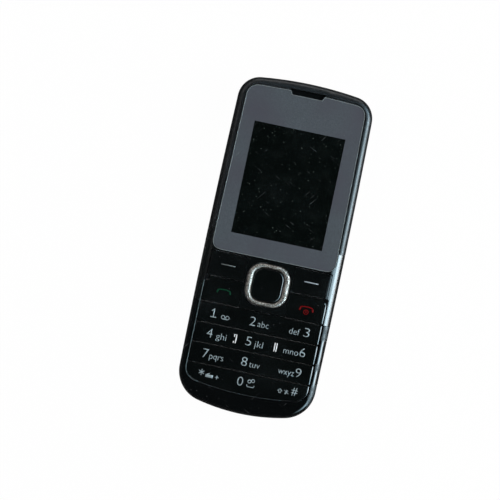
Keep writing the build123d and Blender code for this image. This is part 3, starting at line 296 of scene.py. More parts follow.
@dataclass(frozen=True)
class Finish:
    """A moulded, painted or sheet surface with its grain, mottling, scratches and dust.

    A crown is a soft fall towards both sides, as start, end and depth in millimetres. Clear spans are
    stretches along Y where hands haven't rubbed the right side dull, from dull_from along X and dull_above
    along Z.
    """

    name: str
    colour: Colour
    roughness: float
    metallic: float = 0.0
    coat: float = 0.0
    coat_roughness: float = 0.08
    grain: float = 0.3
    grain_depth: float = 0.004
    mottle: float = 0.12
    mottle_size: float = 7.0
    scratch: float = 0.5
    scratch_colour: Colour = (0.30, 0.31, 0.33)
    scratch_share: float = 0.35
    scratch_depth: float = 0.004
    dust: float = 0.5
    dust_colour: Colour = (0.34, 0.35, 0.36)
    flakes: float = 0.0
    flake_colour: Colour = (0.42, 0.46, 0.52)
    brushed: Triple | None = None
    specular: float = 0.5
    crown: Triple | None = None
    clear_spans: tuple[Point, ...] = ()
    dull_from: float = 0.0
    dull_above: float = 12.0
    dull: float = 0.0

    def base(self, book: NodeBook) -> Socket:
        """The mottled colour with its flakes, before wear and dust.

        Args:
            book: the material being built.

        Returns:
            A colour socket.
        """
        flake_size, flake_core, patch_size = 0.22, 0.10, 0.5
        dark, light = scaled(self.colour, 1.0 - self.mottle), scaled(self.colour, 1.0 + self.mottle)
        colour = book.blend(book.remap(book.noise(self.mottle_size, 3.0), 0.3, 0.7), dark, light)
        if self.flakes > 0.0:
            flake = book.remap(book.cells(flake_size), flake_core, flake_size, 1.0, 0.0)
            chance = book.sum_up("MULTIPLY", flake, book.remap(book.noise(patch_size, 1.0), 0.45, 0.6))
            colour = book.blend(book.sum_up("MULTIPLY", chance, self.flakes), colour, self.flake_colour)
        return colour

    def rubbed(self, book: NodeBook) -> Socket:
        """Roughness that hands have added to the right side, outside its clear spans.

        Args:
            book: the material being built.

        Returns:
            The roughness to add.
        """
        span_soft, side_soft, face_soft = 1.1, 0.8, 1.6
        patch_size, patch_low, patch_high, least = 1.4, 0.32, 0.62, 0.5
        clear = book.sum_up("MAXIMUM", *(book.within("Y", *span, span_soft) for span in self.clear_spans))
        return book.sum_up(
            "MULTIPLY",
            book.remap(clear, 0.0, 1.0, self.dull, 0.0),
            book.within("X", self.dull_from, 2 * self.dull_from, side_soft),
            book.within("Z", self.dull_above, 2 * self.dull_above, face_soft),
            book.remap(book.noise(patch_size, 5.0), patch_low, patch_high, least, 1.0))

    def material(self) -> bpy.types.Material:
        """Build the material's nodes: colour, then wear and dust over it, and the same marks in the gloss.

        Returns:
            The material.
        """
        speck_spacing, speck_share = 1.7, 0.075
        haze_size, haze_low, haze_high = 11.0, -0.06, 0.09
        scratch_rough, speck_rough, scratch_strength = 0.2, 0.4, 0.6
        book = NodeBook(bpy.data.materials.new(self.name))
        colour = self.base(book)
        scratch = book.sum_up("MAXIMUM", *(
            book.scratches(spacing, self.scratch, turn) for spacing, turn in ((0.22, 28.0), (0.3, -52.0))))
        speck = book.specks(speck_spacing, speck_share)
        if self.scratch > 0.0:
            amount = book.sum_up("MULTIPLY", scratch, self.scratch_share)
            colour = book.blend(amount, colour, self.scratch_colour)
        if self.dust > 0.0:
            colour = book.blend(book.sum_up("MULTIPLY", speck, self.dust), colour, self.dust_colour)
        rough = book.sum_up(
            "ADD", self.roughness, book.remap(book.noise(haze_size, 4.0), 0.3, 0.75, haze_low, haze_high))
        if self.clear_spans:
            rough = book.sum_up("ADD", rough, self.rubbed(book))
        rough = book.sum_up(
            "ADD", rough, book.sum_up("MULTIPLY", scratch, scratch_rough * self.scratch),
            book.sum_up("MULTIPLY", speck, speck_rough * self.dust))
        height = book.noise(self.brushed, 2.0) if self.brushed else book.noise(self.grain, 3.0)
        normal = book.relief(height, self.grain_depth)
        if self.crown:
            start, end, depth = self.crown
            normal = book.relief(book.fall(start, end), -depth, over=normal)
        normal = book.relief(scratch, -self.scratch_depth, scratch_strength * self.scratch, normal)
        feeds = {"Base Color": colour, "Roughness": rough, "Normal": normal, "Metallic": self.metallic,
                 "Specular IOR Level": self.specular}
        if self.coat > 0.0:
            feeds |= {"Coat Weight": self.coat, "Coat Roughness": self.coat_roughness}
        return book.done(book.add("ShaderNodeBsdfPrincipled", feeds))


@dataclass(frozen=True)
class PrintedLens(Finish):
    """A clear lens with a grey print on its back that leaves a sharp black opening."""

    opening: tuple[float, float, float, float] = (-14.9, 14.7, 2.45, 38.8)
    print_colour: Colour = (0.088, 0.107, 0.124)
    low_print_colour: Colour = (0.074, 0.079, 0.098)
    opening_colour: Colour = (0.0012, 0.0022, 0.0018)
    haze_colour: Colour = (0.007, 0.010, 0.009)
    fleck_size: float = 0.32
    tint_size: float = 16.0
    haze_size: float = 3.5
    dot_spacing: float = 0.95
    dot_patch: float = 1.6

    def base(self, book: NodeBook) -> Socket:
        """Grey print with a fine fleck outside the opening, near black with dots of dust inside it.

        Args:
            book: the material being built.

        Returns:
            A colour socket.
        """
        left, right, low, high = self.opening
        inside = book.sum_up("MULTIPLY", book.within("X", left, right), book.within("Y", low, high))
        fleck = book.remap(book.noise(self.fleck_size, 2.0), 0.35, 0.65)
        grey = book.blend(fleck, scaled(self.print_colour, 0.78), self.print_colour)
        tint = book.remap(book.noise(self.tint_size, 2.0), 0.35, 0.7)
        grey = book.blend(tint, grey, self.low_print_colour)
        haze = book.sum_up("MULTIPLY", book.remap(book.noise(self.haze_size, 6.0), 0.5, 0.8), 0.5)
        black = book.blend(haze, self.opening_colour, self.haze_colour)
        dots = book.remap(book.cells(self.dot_spacing), 0.10, 0.16, 1.0, 0.0)
        patches = book.remap(book.noise(self.dot_patch, 3.0), 0.50, 0.72, 0.0, 0.9)
        return book.blend(inside, grey, book.blend(book.sum_up("MULTIPLY", dots, patches), black,
                                                   self.dust_colour))


@dataclass(frozen=True)
class ChromePlate(Finish):
    """Chrome plating with dull worn patches, pits and a little grime."""

    worn_colour: Colour = (0.050, 0.047, 0.043)
    worn_size: float = 0.42
    worn_share: float = 0.92
    pit_spacing: float = 0.32

    def base(self, book: NodeBook) -> Socket:
        """Bright metal with darker worn patches.

        Args:
            book: the material being built.

        Returns:
            A colour socket.
        """
        worn = book.remap(book.noise(self.worn_size, 6.0), 0.45, 0.55)
        pit = book.remap(book.cells(self.pit_spacing), 0.16, 0.30, 1.0, 0.0)
        amount = book.sum_up("MULTIPLY", book.sum_up("MAXIMUM", worn, pit), self.worn_share)
        return book.blend(amount, self.colour, self.worn_colour)


@dataclass(frozen=True)
class CameraLens(Finish):
    """A round window with a metallic rim, a black print, and the lens with its pupil behind it."""

    centre: Point = (0.0, 40.802)
    rim_colour: Colour = (0.16, 0.165, 0.17)
    print_colour: Colour = (0.0022, 0.0024, 0.0030)
    barrel_colour: Colour = (0.045, 0.047, 0.052)
    glass_colour: Colour = (0.0060, 0.0070, 0.0150)
    rings: tuple[float, float, float, float] = (2.95, 1.60, 1.38, 0.62)

    def base(self, book: NodeBook) -> Socket:
        """Colours from the rim inwards, one disc over another.

        Args:
            book: the material being built.

        Returns:
            A colour socket.
        """
        colours = (self.print_colour, self.barrel_colour, self.glass_colour, self.print_colour)
        cast = book.remap(book.noise(0.5, 2.0), 0.3, 0.7)
        colour = book.blend(cast, scaled(self.rim_colour, 0.6), self.rim_colour)
        for radius, inner in zip(self.rings, colours):
            colour = book.blend(book.disc(self.centre, radius), colour, inner)
        return colour


@dataclass(frozen=True)
class Ink:
    """Printed ink, also used for the pale lines painted as highlights, with worn spots where the key shows
    through less strongly.
    """

    name: str
    colour: Colour
    worn: float = 0.35
    specular: float = 0.5
    worn_size: float = 0.5
    worn_shade: float = 0.45
    grain: float = 0.15
    grain_depth: float = 0.004

    def material(self) -> bpy.types.Material:
        """Matt ink, duller where it is worn.

        Returns:
            The material.
        """
        book = NodeBook(bpy.data.materials.new(self.name))
        spot = book.sum_up("MULTIPLY", book.remap(book.noise(self.worn_size, 4.0), 0.52, 0.66), self.worn)
        return book.done(book.add("ShaderNodeBsdfPrincipled", {
            "Base Color": book.blend(spot, self.colour, scaled(self.colour, self.worn_shade)),
            "Roughness": book.remap(book.noise(1.2, 2.0), 0.3, 0.7, 0.4, 0.6),
            "Normal": book.relief(book.noise(self.grain, 2.0), self.grain_depth),
            "Specular IOR Level": self.specular}))


class Coated(Enum):
    """Named finishes or inks whose material is built once."""

    def coat(self) -> bpy.types.Material:
        """The material of this finish, built the first time and found again after."""
        return bpy.data.materials.get(self.value.name) or self.value.material()


class Paint(Coated):
    """Finishes of the phone's pieces."""

    HOUSING = Finish("housing plastic", (0.0080, 0.0085, 0.0095), 0.50, grain=0.18, grain_depth=0.010,
                     dust=0.3)
    COVER = Finish("cover plastic", (0.0085, 0.0088, 0.0096), 0.48, grain=0.20, grain_depth=0.012,
                   scratch=0.8)
    GUNMETAL = Finish("gunmetal coat", (0.0042, 0.0050, 0.0058), 0.34, metallic=0.2, grain=0.16,
                      grain_depth=0.006, flakes=0.5, dust=0.2, scratch=0.4)
    CHIN = Finish("chin plastic", (0.0022, 0.0027, 0.0029), 0.10, grain=0.2, grain_depth=0.003, dust=0.35,
                  clear_spans=((-32.6, -26.2), (-39.4, -36.0)), dull_from=20.6, dull=0.50)
    GLOSS = Finish("gloss fascia", (0.0022, 0.0029, 0.0029), 0.17, coat=0.5, grain=1.2, grain_depth=0.002,
                   scratch=0.4, scratch_share=0.10, dust=0.25, specular=0.6, crown=(18.6, 22.2, 0.65))
    KEYS = Finish("key gloss", (0.0018, 0.0025, 0.0024), 0.16, coat=0.3, grain=0.9, grain_depth=0.003,
                  scratch=0.25, scratch_share=0.08, dust=0.25)
    DOOR = Finish("door gloss", (0.0026, 0.0032, 0.0036), 0.13, grain=1.0, grain_depth=0.003, scratch=0.9,
                  scratch_share=0.3, specular=0.7)
    LENS = PrintedLens("printed lens", (0.07, 0.09, 0.11), 0.15, coat=0.4, grain=2.5, grain_depth=0.002,
                       scratch=0.54, scratch_share=0.30, scratch_colour=(0.16, 0.18, 0.19), dust=0.55,
                       dust_colour=(0.15, 0.19, 0.17))
    CHROME = ChromePlate("worn chrome", (0.40, 0.372, 0.335), 0.42, metallic=0.55, grain=0.26,
                         grain_depth=0.07, scratch=0.9, scratch_share=0.3, dust=0.3)
    INNER = Finish("inner plastic", (0.060, 0.062, 0.066), 0.5)
    JACK = Finish("jack plastic", (0.014, 0.014, 0.015), 0.36, scratch=0.3)
    RUBBER = Finish("black rubber", (0.017, 0.017, 0.018), 0.75, grain=0.12, scratch=0.0)
    SILICONE = Finish("milky silicone", (0.50, 0.54, 0.56), 0.45, grain=0.5, scratch=0.0)
    STEEL = Finish("plain steel", (0.50, 0.51, 0.52), 0.30, metallic=1.0, brushed=(3.0, 0.08, 0.08),
                   grain_depth=0.003)
    TIN = Finish("tinned sheet", (0.62, 0.62, 0.60), 0.28, metallic=1.0, grain=0.6, grain_depth=0.003)
    BLACK_STEEL = Finish("blackened steel", (0.045, 0.045, 0.048), 0.34, metallic=0.9, scratch=0.9)
    HEAVY = Finish("sintered metal", (0.30, 0.30, 0.31), 0.42, metallic=1.0, grain=0.1, grain_depth=0.01)
    DOMES = Finish("dome metal", (0.60, 0.60, 0.58), 0.22, metallic=1.0, grain=0.4, grain_depth=0.002)
    GUIDE = Finish("clear guide", (0.62, 0.65, 0.67), 0.25, scratch=0.2)
    BOARD = Finish("solder mask", (0.012, 0.075, 0.030), 0.35, grain=0.8, scratch=0.2)
    CELL = Finish("cell wrap", (0.10, 0.105, 0.115), 0.38, grain=0.6, scratch=0.6)
    WHITE_CARD = Finish("card white", (0.62, 0.63, 0.63), 0.42)
    BLACK_CARD = Finish("card black", (0.014, 0.014, 0.015), 0.34)
    TAN = Finish("tan carrier", (0.22, 0.165, 0.085), 0.5)
    CAMERA_GLASS = CameraLens("camera glass", (0.006, 0.007, 0.010), 0.10, coat=0.6, grain=3.0,
                              grain_depth=0.001, scratch=0.5, dust=0.4)
    MESH = Finish("earpiece mesh", (0.0010, 0.0012, 0.0013), 0.85, grain=0.25, grain_depth=0.012,
                  scratch=0.0, dust=0.1, specular=0.05)
    PANEL = Finish("display panel", (0.004, 0.005, 0.006), 0.2, scratch=0.0)
    WHITE_SHEET = Finish("backlight white", (0.60, 0.61, 0.62), 0.4)


class Print(Coated):
    """Inks of the legends, and pale lines painted on edges as highlights."""

    WHITE = Ink("pale ink", (0.285, 0.36, 0.39))
    # one dash ink in two copies: painted lit for the right dash, painted shaded for the left dash
    DASH_LIT = Ink("dash ink painted lit", (0.36, 0.44, 0.50))
    DASH_SHADED = Ink("dash ink painted shaded", (0.105, 0.125, 0.125))
    GREEN = Ink("green ink", (0.0003, 0.034, 0.014), specular=0.08)
    RED = Ink("red ink", (0.150, 0.0012, 0.0018), specular=0.08)
    # pale colour of the highlights painted on the two ridges' edges
    RIDGE_HIGHLIGHT = Ink("ridge highlight ink", (0.78, 0.82, 0.84), 0.5)
    # colour of the highlight painted along the lens's bevel
    RIM_HIGHLIGHT = Ink("lens rim highlight ink", (0.19, 0.23, 0.24), 0.9)
    # colour of the highlight line painted along the keypad's left and lower edge
    LIP_HIGHLIGHT = Ink("keypad lip highlight ink", (0.042, 0.062, 0.066), 0.8, 0.4)


NODE_PAINT: dict[Paint, tuple[str, ...]] = {
    Paint.HOUSING: ("rear_housing",),
    Paint.COVER: ("battery_cover",),
    Paint.GUNMETAL: ("upper_bezel",),
    Paint.GLOSS: ("middle_fascia",),
    Paint.CHIN: ("lower_bezel",),
    Paint.DOOR: ("card_door",),
    Paint.LENS: ("display_window",),
    Paint.CHROME: ("nav_ring",),
    Paint.CAMERA_GLASS: ("camera_window",),
    Paint.JACK: ("camera_module", "headset_jack", "charger_jack", "battery_contacts", "earpiece_speaker"),
    Paint.STEEL: ("loudspeaker", "sim_holder", "vibration_motor", "microphone", "door_pin"),
    Paint.TIN: ("usb_socket", "shield_radio", "shield_power", "card_reader"),
    Paint.CELL: ("battery",),
    Paint.WHITE_CARD: ("sim_card",),
    Paint.BLACK_CARD: ("memory_card",),
    Paint.BOARD: ("main_board",),
    Paint.RUBBER: ("motor_cradle", "microphone_boot", "display_gasket"),
    Paint.HEAVY: ("vibration_weight",),
    Paint.TAN: ("antenna",),
    Paint.BLACK_STEEL: ("case_screws",),
    Paint.INNER: ("front_frame", "nav_carrier"),
    Paint.WHITE_SHEET: ("display_backlight",),
    Paint.PANEL: ("display_panel",),
    Paint.MESH: ("earpiece_mesh",),
    Paint.DOMES: ("dome_sheet",),
    Paint.GUIDE: ("light_guide",),
    Paint.KEYS: ("centre_key", "soft_key_left", "soft_key_right", "call_key", "end_key", "key_row_1",
                 "key_row_2", "key_row_3", "key_row_4"),
    Paint.SILICONE: ("row_pad_1", "row_pad_2", "row_pad_3", "row_pad_4"),
}


def dress_nodes() -> None:
    """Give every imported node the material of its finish."""
    for paint, names in NODE_PAINT.items():
        for name in names:
            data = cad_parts[name].data
            data.materials.clear()
            data.materials.append(paint.coat())
    LOG.info("dressed %d packed nodes", sum(len(names) for names in NODE_PAINT.values()))


# Outlines


def arc(centre: Point, radius: float, start: float, end: float, steps: int = 10) -> np.ndarray:
    """Points on an arc: c + r (cos a, sin a), with a from start to end in degrees, one row each."""
    angle = np.radians(np.linspace(start, end, steps))
    return np.stack([centre[0] + radius * np.cos(angle), centre[1] + radius * np.sin(angle)], axis=-1)


def bend(first: np.ndarray, knee: np.ndarray, last: np.ndarray, steps: int) -> np.ndarray:
    """Points of the curve (1 - t)^2 a + 2 t (1 - t) k + t^2 b from a to b, which leans to the knee k."""
    share = np.linspace(0.0, 1.0, steps)[:, None]
    return (1 - share) ** 2 * first + 2 * share * (1 - share) * knee + share**2 * last


def rounded_box(width: float, height: float, radius: float, centre: Point = (0.0, 0.0),
                steps: int = 9) -> np.ndarray:
    """A rectangle with round corners, counterclockwise: four quarter arcs joined by straight lines.

    Args:
        width: size along X in millimetres.
        height: size along Y in millimetres.
        radius: corner radius in millimetres.
        centre: the middle.
        steps: points on each corner.

    Returns:
        The outline's points.
    """
    across, along = width / 2 - radius, height / 2 - radius
    corners = [arc((across * sx, along * sy), radius, first, first + 90, steps)
               for sx, sy, first in ((1, -1, -90), (1, 1, 0), (-1, 1, 90), (-1, -1, 180))]
    return np.concatenate(corners) + np.asarray(centre)


def rounded_corners(corners: list[Triple], steps: int = 9) -> np.ndarray:
    """A closed outline through corners that are each rounded by a radius.

    A corner's arc touches both sides at r tan(a / 2) from the corner, where a is the turn there, and its
    points are those of the quadratic curve between the two places, which is close to the arc.

    Args:
        corners: x, y and radius of each corner in millimetres.
        steps: points on each corner.

    Returns:
        The outline's points.
    """
    places = np.array([corner[:2] for corner in corners])
    parts = []
    for number, (_, _, radius) in enumerate(corners):
        here = places[number]
        before = places[number - 1] - here
        after = places[(number + 1) % len(places)] - here
        before, after = before / np.linalg.norm(before), after / np.linalg.norm(after)
        turn = math.pi - math.acos(float(np.clip(before @ after, -1, 1)))
        reach = radius * math.tan(turn / 2)
        parts.append(bend(here + before * reach, here, here + after * reach, steps))
    return np.concatenate(parts)


def even(outline: np.ndarray, spacing: float) -> np.ndarray:
    """The same closed outline with evenly spaced points, by linear interpolation over its length.

    Args:
        outline: the outline's points.
        spacing: rough distance between points in millimetres.

    Returns:
        The resampled points.
    """
    closed = np.vstack([outline, outline[:1]])
    length = np.concatenate([[0.0], np.cumsum(np.linalg.norm(np.diff(closed, axis=0), axis=1))])
    count = max(12, int(round(length[-1] / spacing)))
    place = np.linspace(0.0, length[-1], count, endpoint=False)
    return np.stack([np.interp(place, length, closed[:, axis]) for axis in (0, 1)], axis=-1)


def outward(outline: np.ndarray) -> np.ndarray:
    """Unit normals of a counterclockwise outline: its central difference turned by a quarter.

    Args:
        outline: the outline's points.

    Returns:
        One normal for each point.
    """
    step = np.roll(outline, -1, axis=0) - np.roll(outline, 1, axis=0)
    normal = np.stack([step[:, 1], -step[:, 0]], axis=-1)
    return normal / np.maximum(np.linalg.norm(normal, axis=1, keepdims=True), 1e-9)


# Heights of the key tops


@dataclass(frozen=True)
class Arch:
    """Height of a crowned top: a circle's arc between two edges along Y that lie lower by the crown."""

    low: float
    high: float
    top: float
    crown: float

    def __call__(self, x: np.ndarray, y: np.ndarray) -> np.ndarray:
        """z = top - R + sqrt(R^2 - (y - m)^2), with R = (h^2 + c^2) / (2 c) for half the span h and crown c.

        Args:
            x: places along X.
            y: places along Y.

        Returns:
            The heights.
        """
        middle, half = (self.low + self.high) / 2, (self.high - self.low) / 2
        radius = (half**2 + self.crown**2) / (2 * self.crown)
        return self.top - radius + np.sqrt(radius**2 - (y - middle) ** 2) + 0.0 * x


@dataclass(frozen=True)
class Level:
    """Height of a flat top."""

    top: float

    def __call__(self, x: np.ndarray, y: np.ndarray) -> np.ndarray:
        """z = top, for every x and y."""
        return self.top + 0.0 * x + 0.0 * y


@dataclass(frozen=True)
class Dish:
    """Height of a top that is slightly hollow, as a thumb's rest."""

    centre: Point
    half: Point
    top: float
    depth: float

    def __call__(self, x: np.ndarray, y: np.ndarray) -> np.ndarray:
        """z = top - depth (1 - u^2)(1 - v^2), with u and v the place against the half sizes.

        Args:
            x: places along X.
            y: places along Y.

        Returns:
            The heights.
        """
        u = np.clip((x - self.centre[0]) / self.half[0], -1, 1)
        v = np.clip((y - self.centre[1]) / self.half[1], -1, 1)
        return self.top - self.depth * (1 - u**2) * (1 - v**2)


Height = Arch | Level | Dish


# Surfaces


def band_faces(rows: int, columns: int) -> np.ndarray:
    """Quads between rows of points that each close on themselves, counterclockwise seen from outside.

    Args:
        rows: number of rows.
        columns: points in each row.

    Returns:
        The quads' point numbers.
    """
    row, column = np.meshgrid(np.arange(rows - 1), np.arange(columns), indexing="ij")
    after = (column + 1) % columns
    quads = np.stack([row * columns + column, row * columns + after, (row + 1) * columns + after,
                      (row + 1) * columns + column], axis=-1)
    return quads.reshape(-1, 4)


def cap_surface(outline: np.ndarray, low: float, top: Height, edge: float | np.ndarray) -> Surface:
    """A key cap: a wall up the outline, a quarter round of radius e, then rings in to a spine.

    The round is p - n e (1 - cos a), z = top - e (1 - sin a). The rings are s + (q - s) t with t from 1 to 0,
    where s is the point of the middle line nearest to q, so that the quads stay well shaped. The
    underside is the same rings at the low level.

    Args:
        outline: the cap's outline, evenly spaced and counterclockwise.
        low: the underside's level in millimetres.
        top: height of the top as a function of x and y.
        edge: radius of the edge's round in millimetres, one or one for each point.

    Returns:
        Points in millimetres and quads.
    """
    round_steps, ring_count = 6, 8
    normal = outward(outline)
    angle = np.linspace(0.0, math.pi / 2, round_steps)[:, None]
    radius = np.broadcast_to(edge, (len(outline),))[None]
    drop = radius * (1 - np.sin(angle))
    rounds = outline[None] - normal[None] * (radius * (1 - np.cos(angle)))[..., None]
    inner = rounds[-1]
    centre = (inner.max(axis=0) + inner.min(axis=0)) / 2
    half = (inner.max(axis=0) - inner.min(axis=0)) / 2
    reach = np.maximum(half - half.min(), 0.0)
    spine = centre + np.clip(inner - centre, -reach, reach)
    share = np.linspace(1.0, 0.0, ring_count + 1)[1:]
    rings = spine[None] + (inner - spine)[None] * share[:, None, None]
    flat = np.concatenate([rings[::-1], outline[None], rounds, rings])
    height = np.concatenate([
        np.full((len(rings) + 1, len(outline)), low),
        top(rounds[..., 0], rounds[..., 1]) - drop,
        top(rings[..., 0], rings[..., 1]),
    ])
    points = np.concatenate([flat, height[..., None]], axis=-1)
    return points.reshape(-1, 3), band_faces(points.shape[0], points.shape[1])


def side_rounds(outline: np.ndarray, reach: float, outer: float, other: float,
                spread: float = 0.5) -> np.ndarray:
    """Edge radii s + (o - s) w for seams s and outer sides o, where w rises to 1 over the spread."""
    share = np.clip((np.abs(outline[:, 0]) - (reach - spread)) / spread, 0.0, 1.0)
    return other + (outer - other) * share


def stem_surface(centre: Point, radius: float, low: float, high: float, steps: int = 28) -> Surface:
    """A closed round stem: rings at both ends that shrink to a point.

    Args:
        centre: the axis's place in millimetres.
        radius: its radius.
        low: lower level.
        high: upper level.
        steps: points round it.

    Returns:
        Points in millimetres and quads.
    """
    circle = arc(centre, 1.0, 0.0, 360.0 * (1 - 1 / steps), steps) - np.asarray(centre)
    size = np.array([0.0, radius, radius, 0.0])[:, None, None]
    height = np.array([low, low, high, high])[:, None] * np.ones(steps)
    flat = np.asarray(centre) + circle[None] * size
    points = np.concatenate([flat, height[..., None]], axis=-1)
    return points.reshape(-1, 3), band_faces(4, steps)


def piece(name: str, surfaces: list[Surface], paint: Coated, body: str,
          replaced: tuple[str, ...] = (), thickness: float = 0.0) -> None:
    """Put surfaces into one object, close their seams and tie the object to its body.

    Args:
        name: the object's name.
        surfaces: pairs of points in millimetres and faces.
        paint: the finish or ink.
        body: the CAD body that it rides on.
        replaced: CAD nodes that it stands for.
        thickness: thickness in millimetres given to an open sheet, downwards.
    """
    same_point, no_area, sharp_angle = 2e-6, 1e-6, 40.0
    mesh = bpy.data.meshes.new(name)
    starts = np.cumsum([0] + [len(points) for points, _ in surfaces])
    points = np.concatenate([np.asarray(points, dtype=float) for points, _ in surfaces]) * MM
    faces = [[int(corner + start) for corner in face]
             for (_, quads), start in zip(surfaces, starts) for face in quads]
    mesh.from_pydata(points.tolist(), [], faces)
    work = bmesh.new()
    work.from_mesh(mesh)
    bmesh.ops.remove_doubles(work, verts=work.verts, dist=same_point)
    bmesh.ops.dissolve_degenerate(work, edges=work.edges, dist=no_area)
    work.to_mesh(mesh)
    work.free()
    mesh.polygons.foreach_set("use_smooth", [True] * len(mesh.polygons))
    mesh.set_sharp_from_angle(angle=math.radians(sharp_angle))
    mesh.materials.append(paint.coat())
    made = put(name, mesh)
    if thickness:
        skin = made.modifiers.new("thickness", "SOLIDIFY")
        skin.thickness = thickness * MM
        skin.offset = -1.0
    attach(made, body)
    if replaced:
        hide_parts(*replaced)
    LOG.info("built %s on %s", name, body)


# Printed legends, and painted highlight lines, whose height over the keys and thickness are in millimetres


INK_THICKNESS = 0.035
HIGHLIGHT_THICKNESS = 0.02
HIGHLIGHT_LIFT = 0.01
COARSE_BAND = 2.0


def ribbon(path: np.ndarray, width: float) -> Flat:
    """A flat strip along a path: p + n w/2 and p - n w/2.

    Args:
        path: the middle line's points in millimetres.
        width: the strip's width.

    Returns:
        Flat points and quads.
    """
    step = np.gradient(path, axis=0)
    normal = np.stack([-step[:, 1], step[:, 0]], axis=-1)
    normal /= np.maximum(np.linalg.norm(normal, axis=1, keepdims=True), 1e-9)
    points = np.stack([path - normal * (width / 2), path + normal * (width / 2)], axis=1).reshape(-1, 2)
    start = 2 * np.arange(len(path) - 1)
    return points, np.stack([start, start + 2, start + 3, start + 1], axis=-1)


def ring(centre: Point, radius: float, width: float, steps: int) -> Flat:
    """A flat ring: a strip of a width round a whole circle."""
    return ribbon(arc(centre, radius, 0, 360, steps), width)


def line(*places: Point, width: float) -> Flat:
    """A flat strip through a few places with square joints.

    Args:
        places: the corners in millimetres.
        width: the strip's width.

    Returns:
        Flat points and quads.
    """
    steps = 6
    parts = []
    for first, last in zip(places[:-1], places[1:]):
        first, last = np.asarray(first, dtype=float), np.asarray(last, dtype=float)
        reach = (last - first) / np.linalg.norm(last - first) * width / 2
        parts.append(ribbon(np.linspace(first - reach, last + reach, steps), width))
    starts = np.cumsum([0] + [len(points) for points, _ in parts])
    return (np.concatenate([points for points, _ in parts]),
            np.concatenate([quads + start for (_, quads), start in zip(parts, starts)]))


def mesh_points(mesh: bpy.types.Mesh) -> np.ndarray:
    """The places of a mesh's points, one row each.

    Args:
        mesh: the mesh.

    Returns:
        The points as an array.
    """
    values = np.empty(len(mesh.vertices) * 3)
    mesh.vertices.foreach_get("co", values)
    return values.reshape(-1, 3)


def font_mesh(words: str, thinner: float) -> bpy.types.Mesh:
    """The flat faces of some words in Blender's own font.

    Args:
        words: the words.
        thinner: how far each outline is drawn in, against the font's own size.

    Returns:
        Their mesh.
    """
    curve = bpy.data.curves.new("letters", "FONT")
    curve.body = words
    curve.resolution_u = 4
    curve.offset = -thinner
    holder = bpy.data.objects.new("letters", curve)
    mesh = bpy.data.meshes.new_from_object(holder)
    bpy.data.objects.remove(holder)
    bpy.data.curves.remove(curve)
    return mesh


def lettering(text: str, span: Point, base: float, height: float, measure: str, thinner: float) -> Flat:
    """Generic letters as flat faces, fitted between two places with a letter height.

    Args:
        text: the letters.
        span: the left and the right end in millimetres.
        base: the line that they stand on.
        height: height of the measured letter.
        measure: the letter that the height is for.
        thinner: how far each outline is drawn in, against the font's own size.

    Returns:
        Flat points and faces.
    """
    rule, mesh = font_mesh(measure, thinner), font_mesh(text, thinner)
    rule_y, points = mesh_points(rule)[:, 1], mesh_points(mesh)[:, :2]
    across = (span[1] - span[0]) / (points[:, 0].max() - points[:, 0].min())
    upward = height / (rule_y.max() - rule_y.min())
    shift = rule_y.min() if measure != "x" else 0.0
    fitted = np.stack([span[0] + (points[:, 0] - points[:, 0].min()) * across,
                       base + (points[:, 1] - shift) * upward], axis=-1)
    faces = [list(polygon.vertices) for polygon in mesh.polygons]
    bpy.data.meshes.remove(mesh)
    bpy.data.meshes.remove(rule)
    return fitted, faces


def draped(shape: Flat, top: Height, lift: float = 0.03, band: float = 0.4) -> Surface:
    """Lay a flat shape on a crowned top: cut it into bands across Y, then z = top(x, y) + lift.

    Args:
        shape: flat points and faces.
        top: height of the surface that it lies on.
        lift: how far above it the print stands, in millimetres.
        band: height of each band in millimetres.

    Returns:
        Points in millimetres and faces.
    """
    flat, faces = shape
    mesh = bpy.data.meshes.new("flat")
    solid = np.concatenate([flat, np.zeros((len(flat), 1))], axis=1)
    mesh.from_pydata(solid.tolist(), [], [list(map(int, face)) for face in faces])
    work = bmesh.new()
    work.from_mesh(mesh)
    for place in np.arange(flat[:, 1].min() + band, flat[:, 1].max(), band):
        everything = list(work.verts) + list(work.edges) + list(work.faces)
        bmesh.ops.bisect_plane(work, geom=everything, plane_co=(0.0, float(place), 0.0),
                               plane_no=(0.0, 1.0, 0.0), dist=1e-5)
    for flipped in [polygon for polygon in work.faces if polygon.normal.z < 0]:
        flipped.normal_flip()
    work.to_mesh(mesh)
    work.free()
    points = mesh_points(mesh)
    points[:, 2] = top(points[:, 0], points[:, 1]) + lift
    kept = [list(polygon.vertices) for polygon in mesh.polygons]
    bpy.data.meshes.remove(mesh)
    return points, kept


# Keys


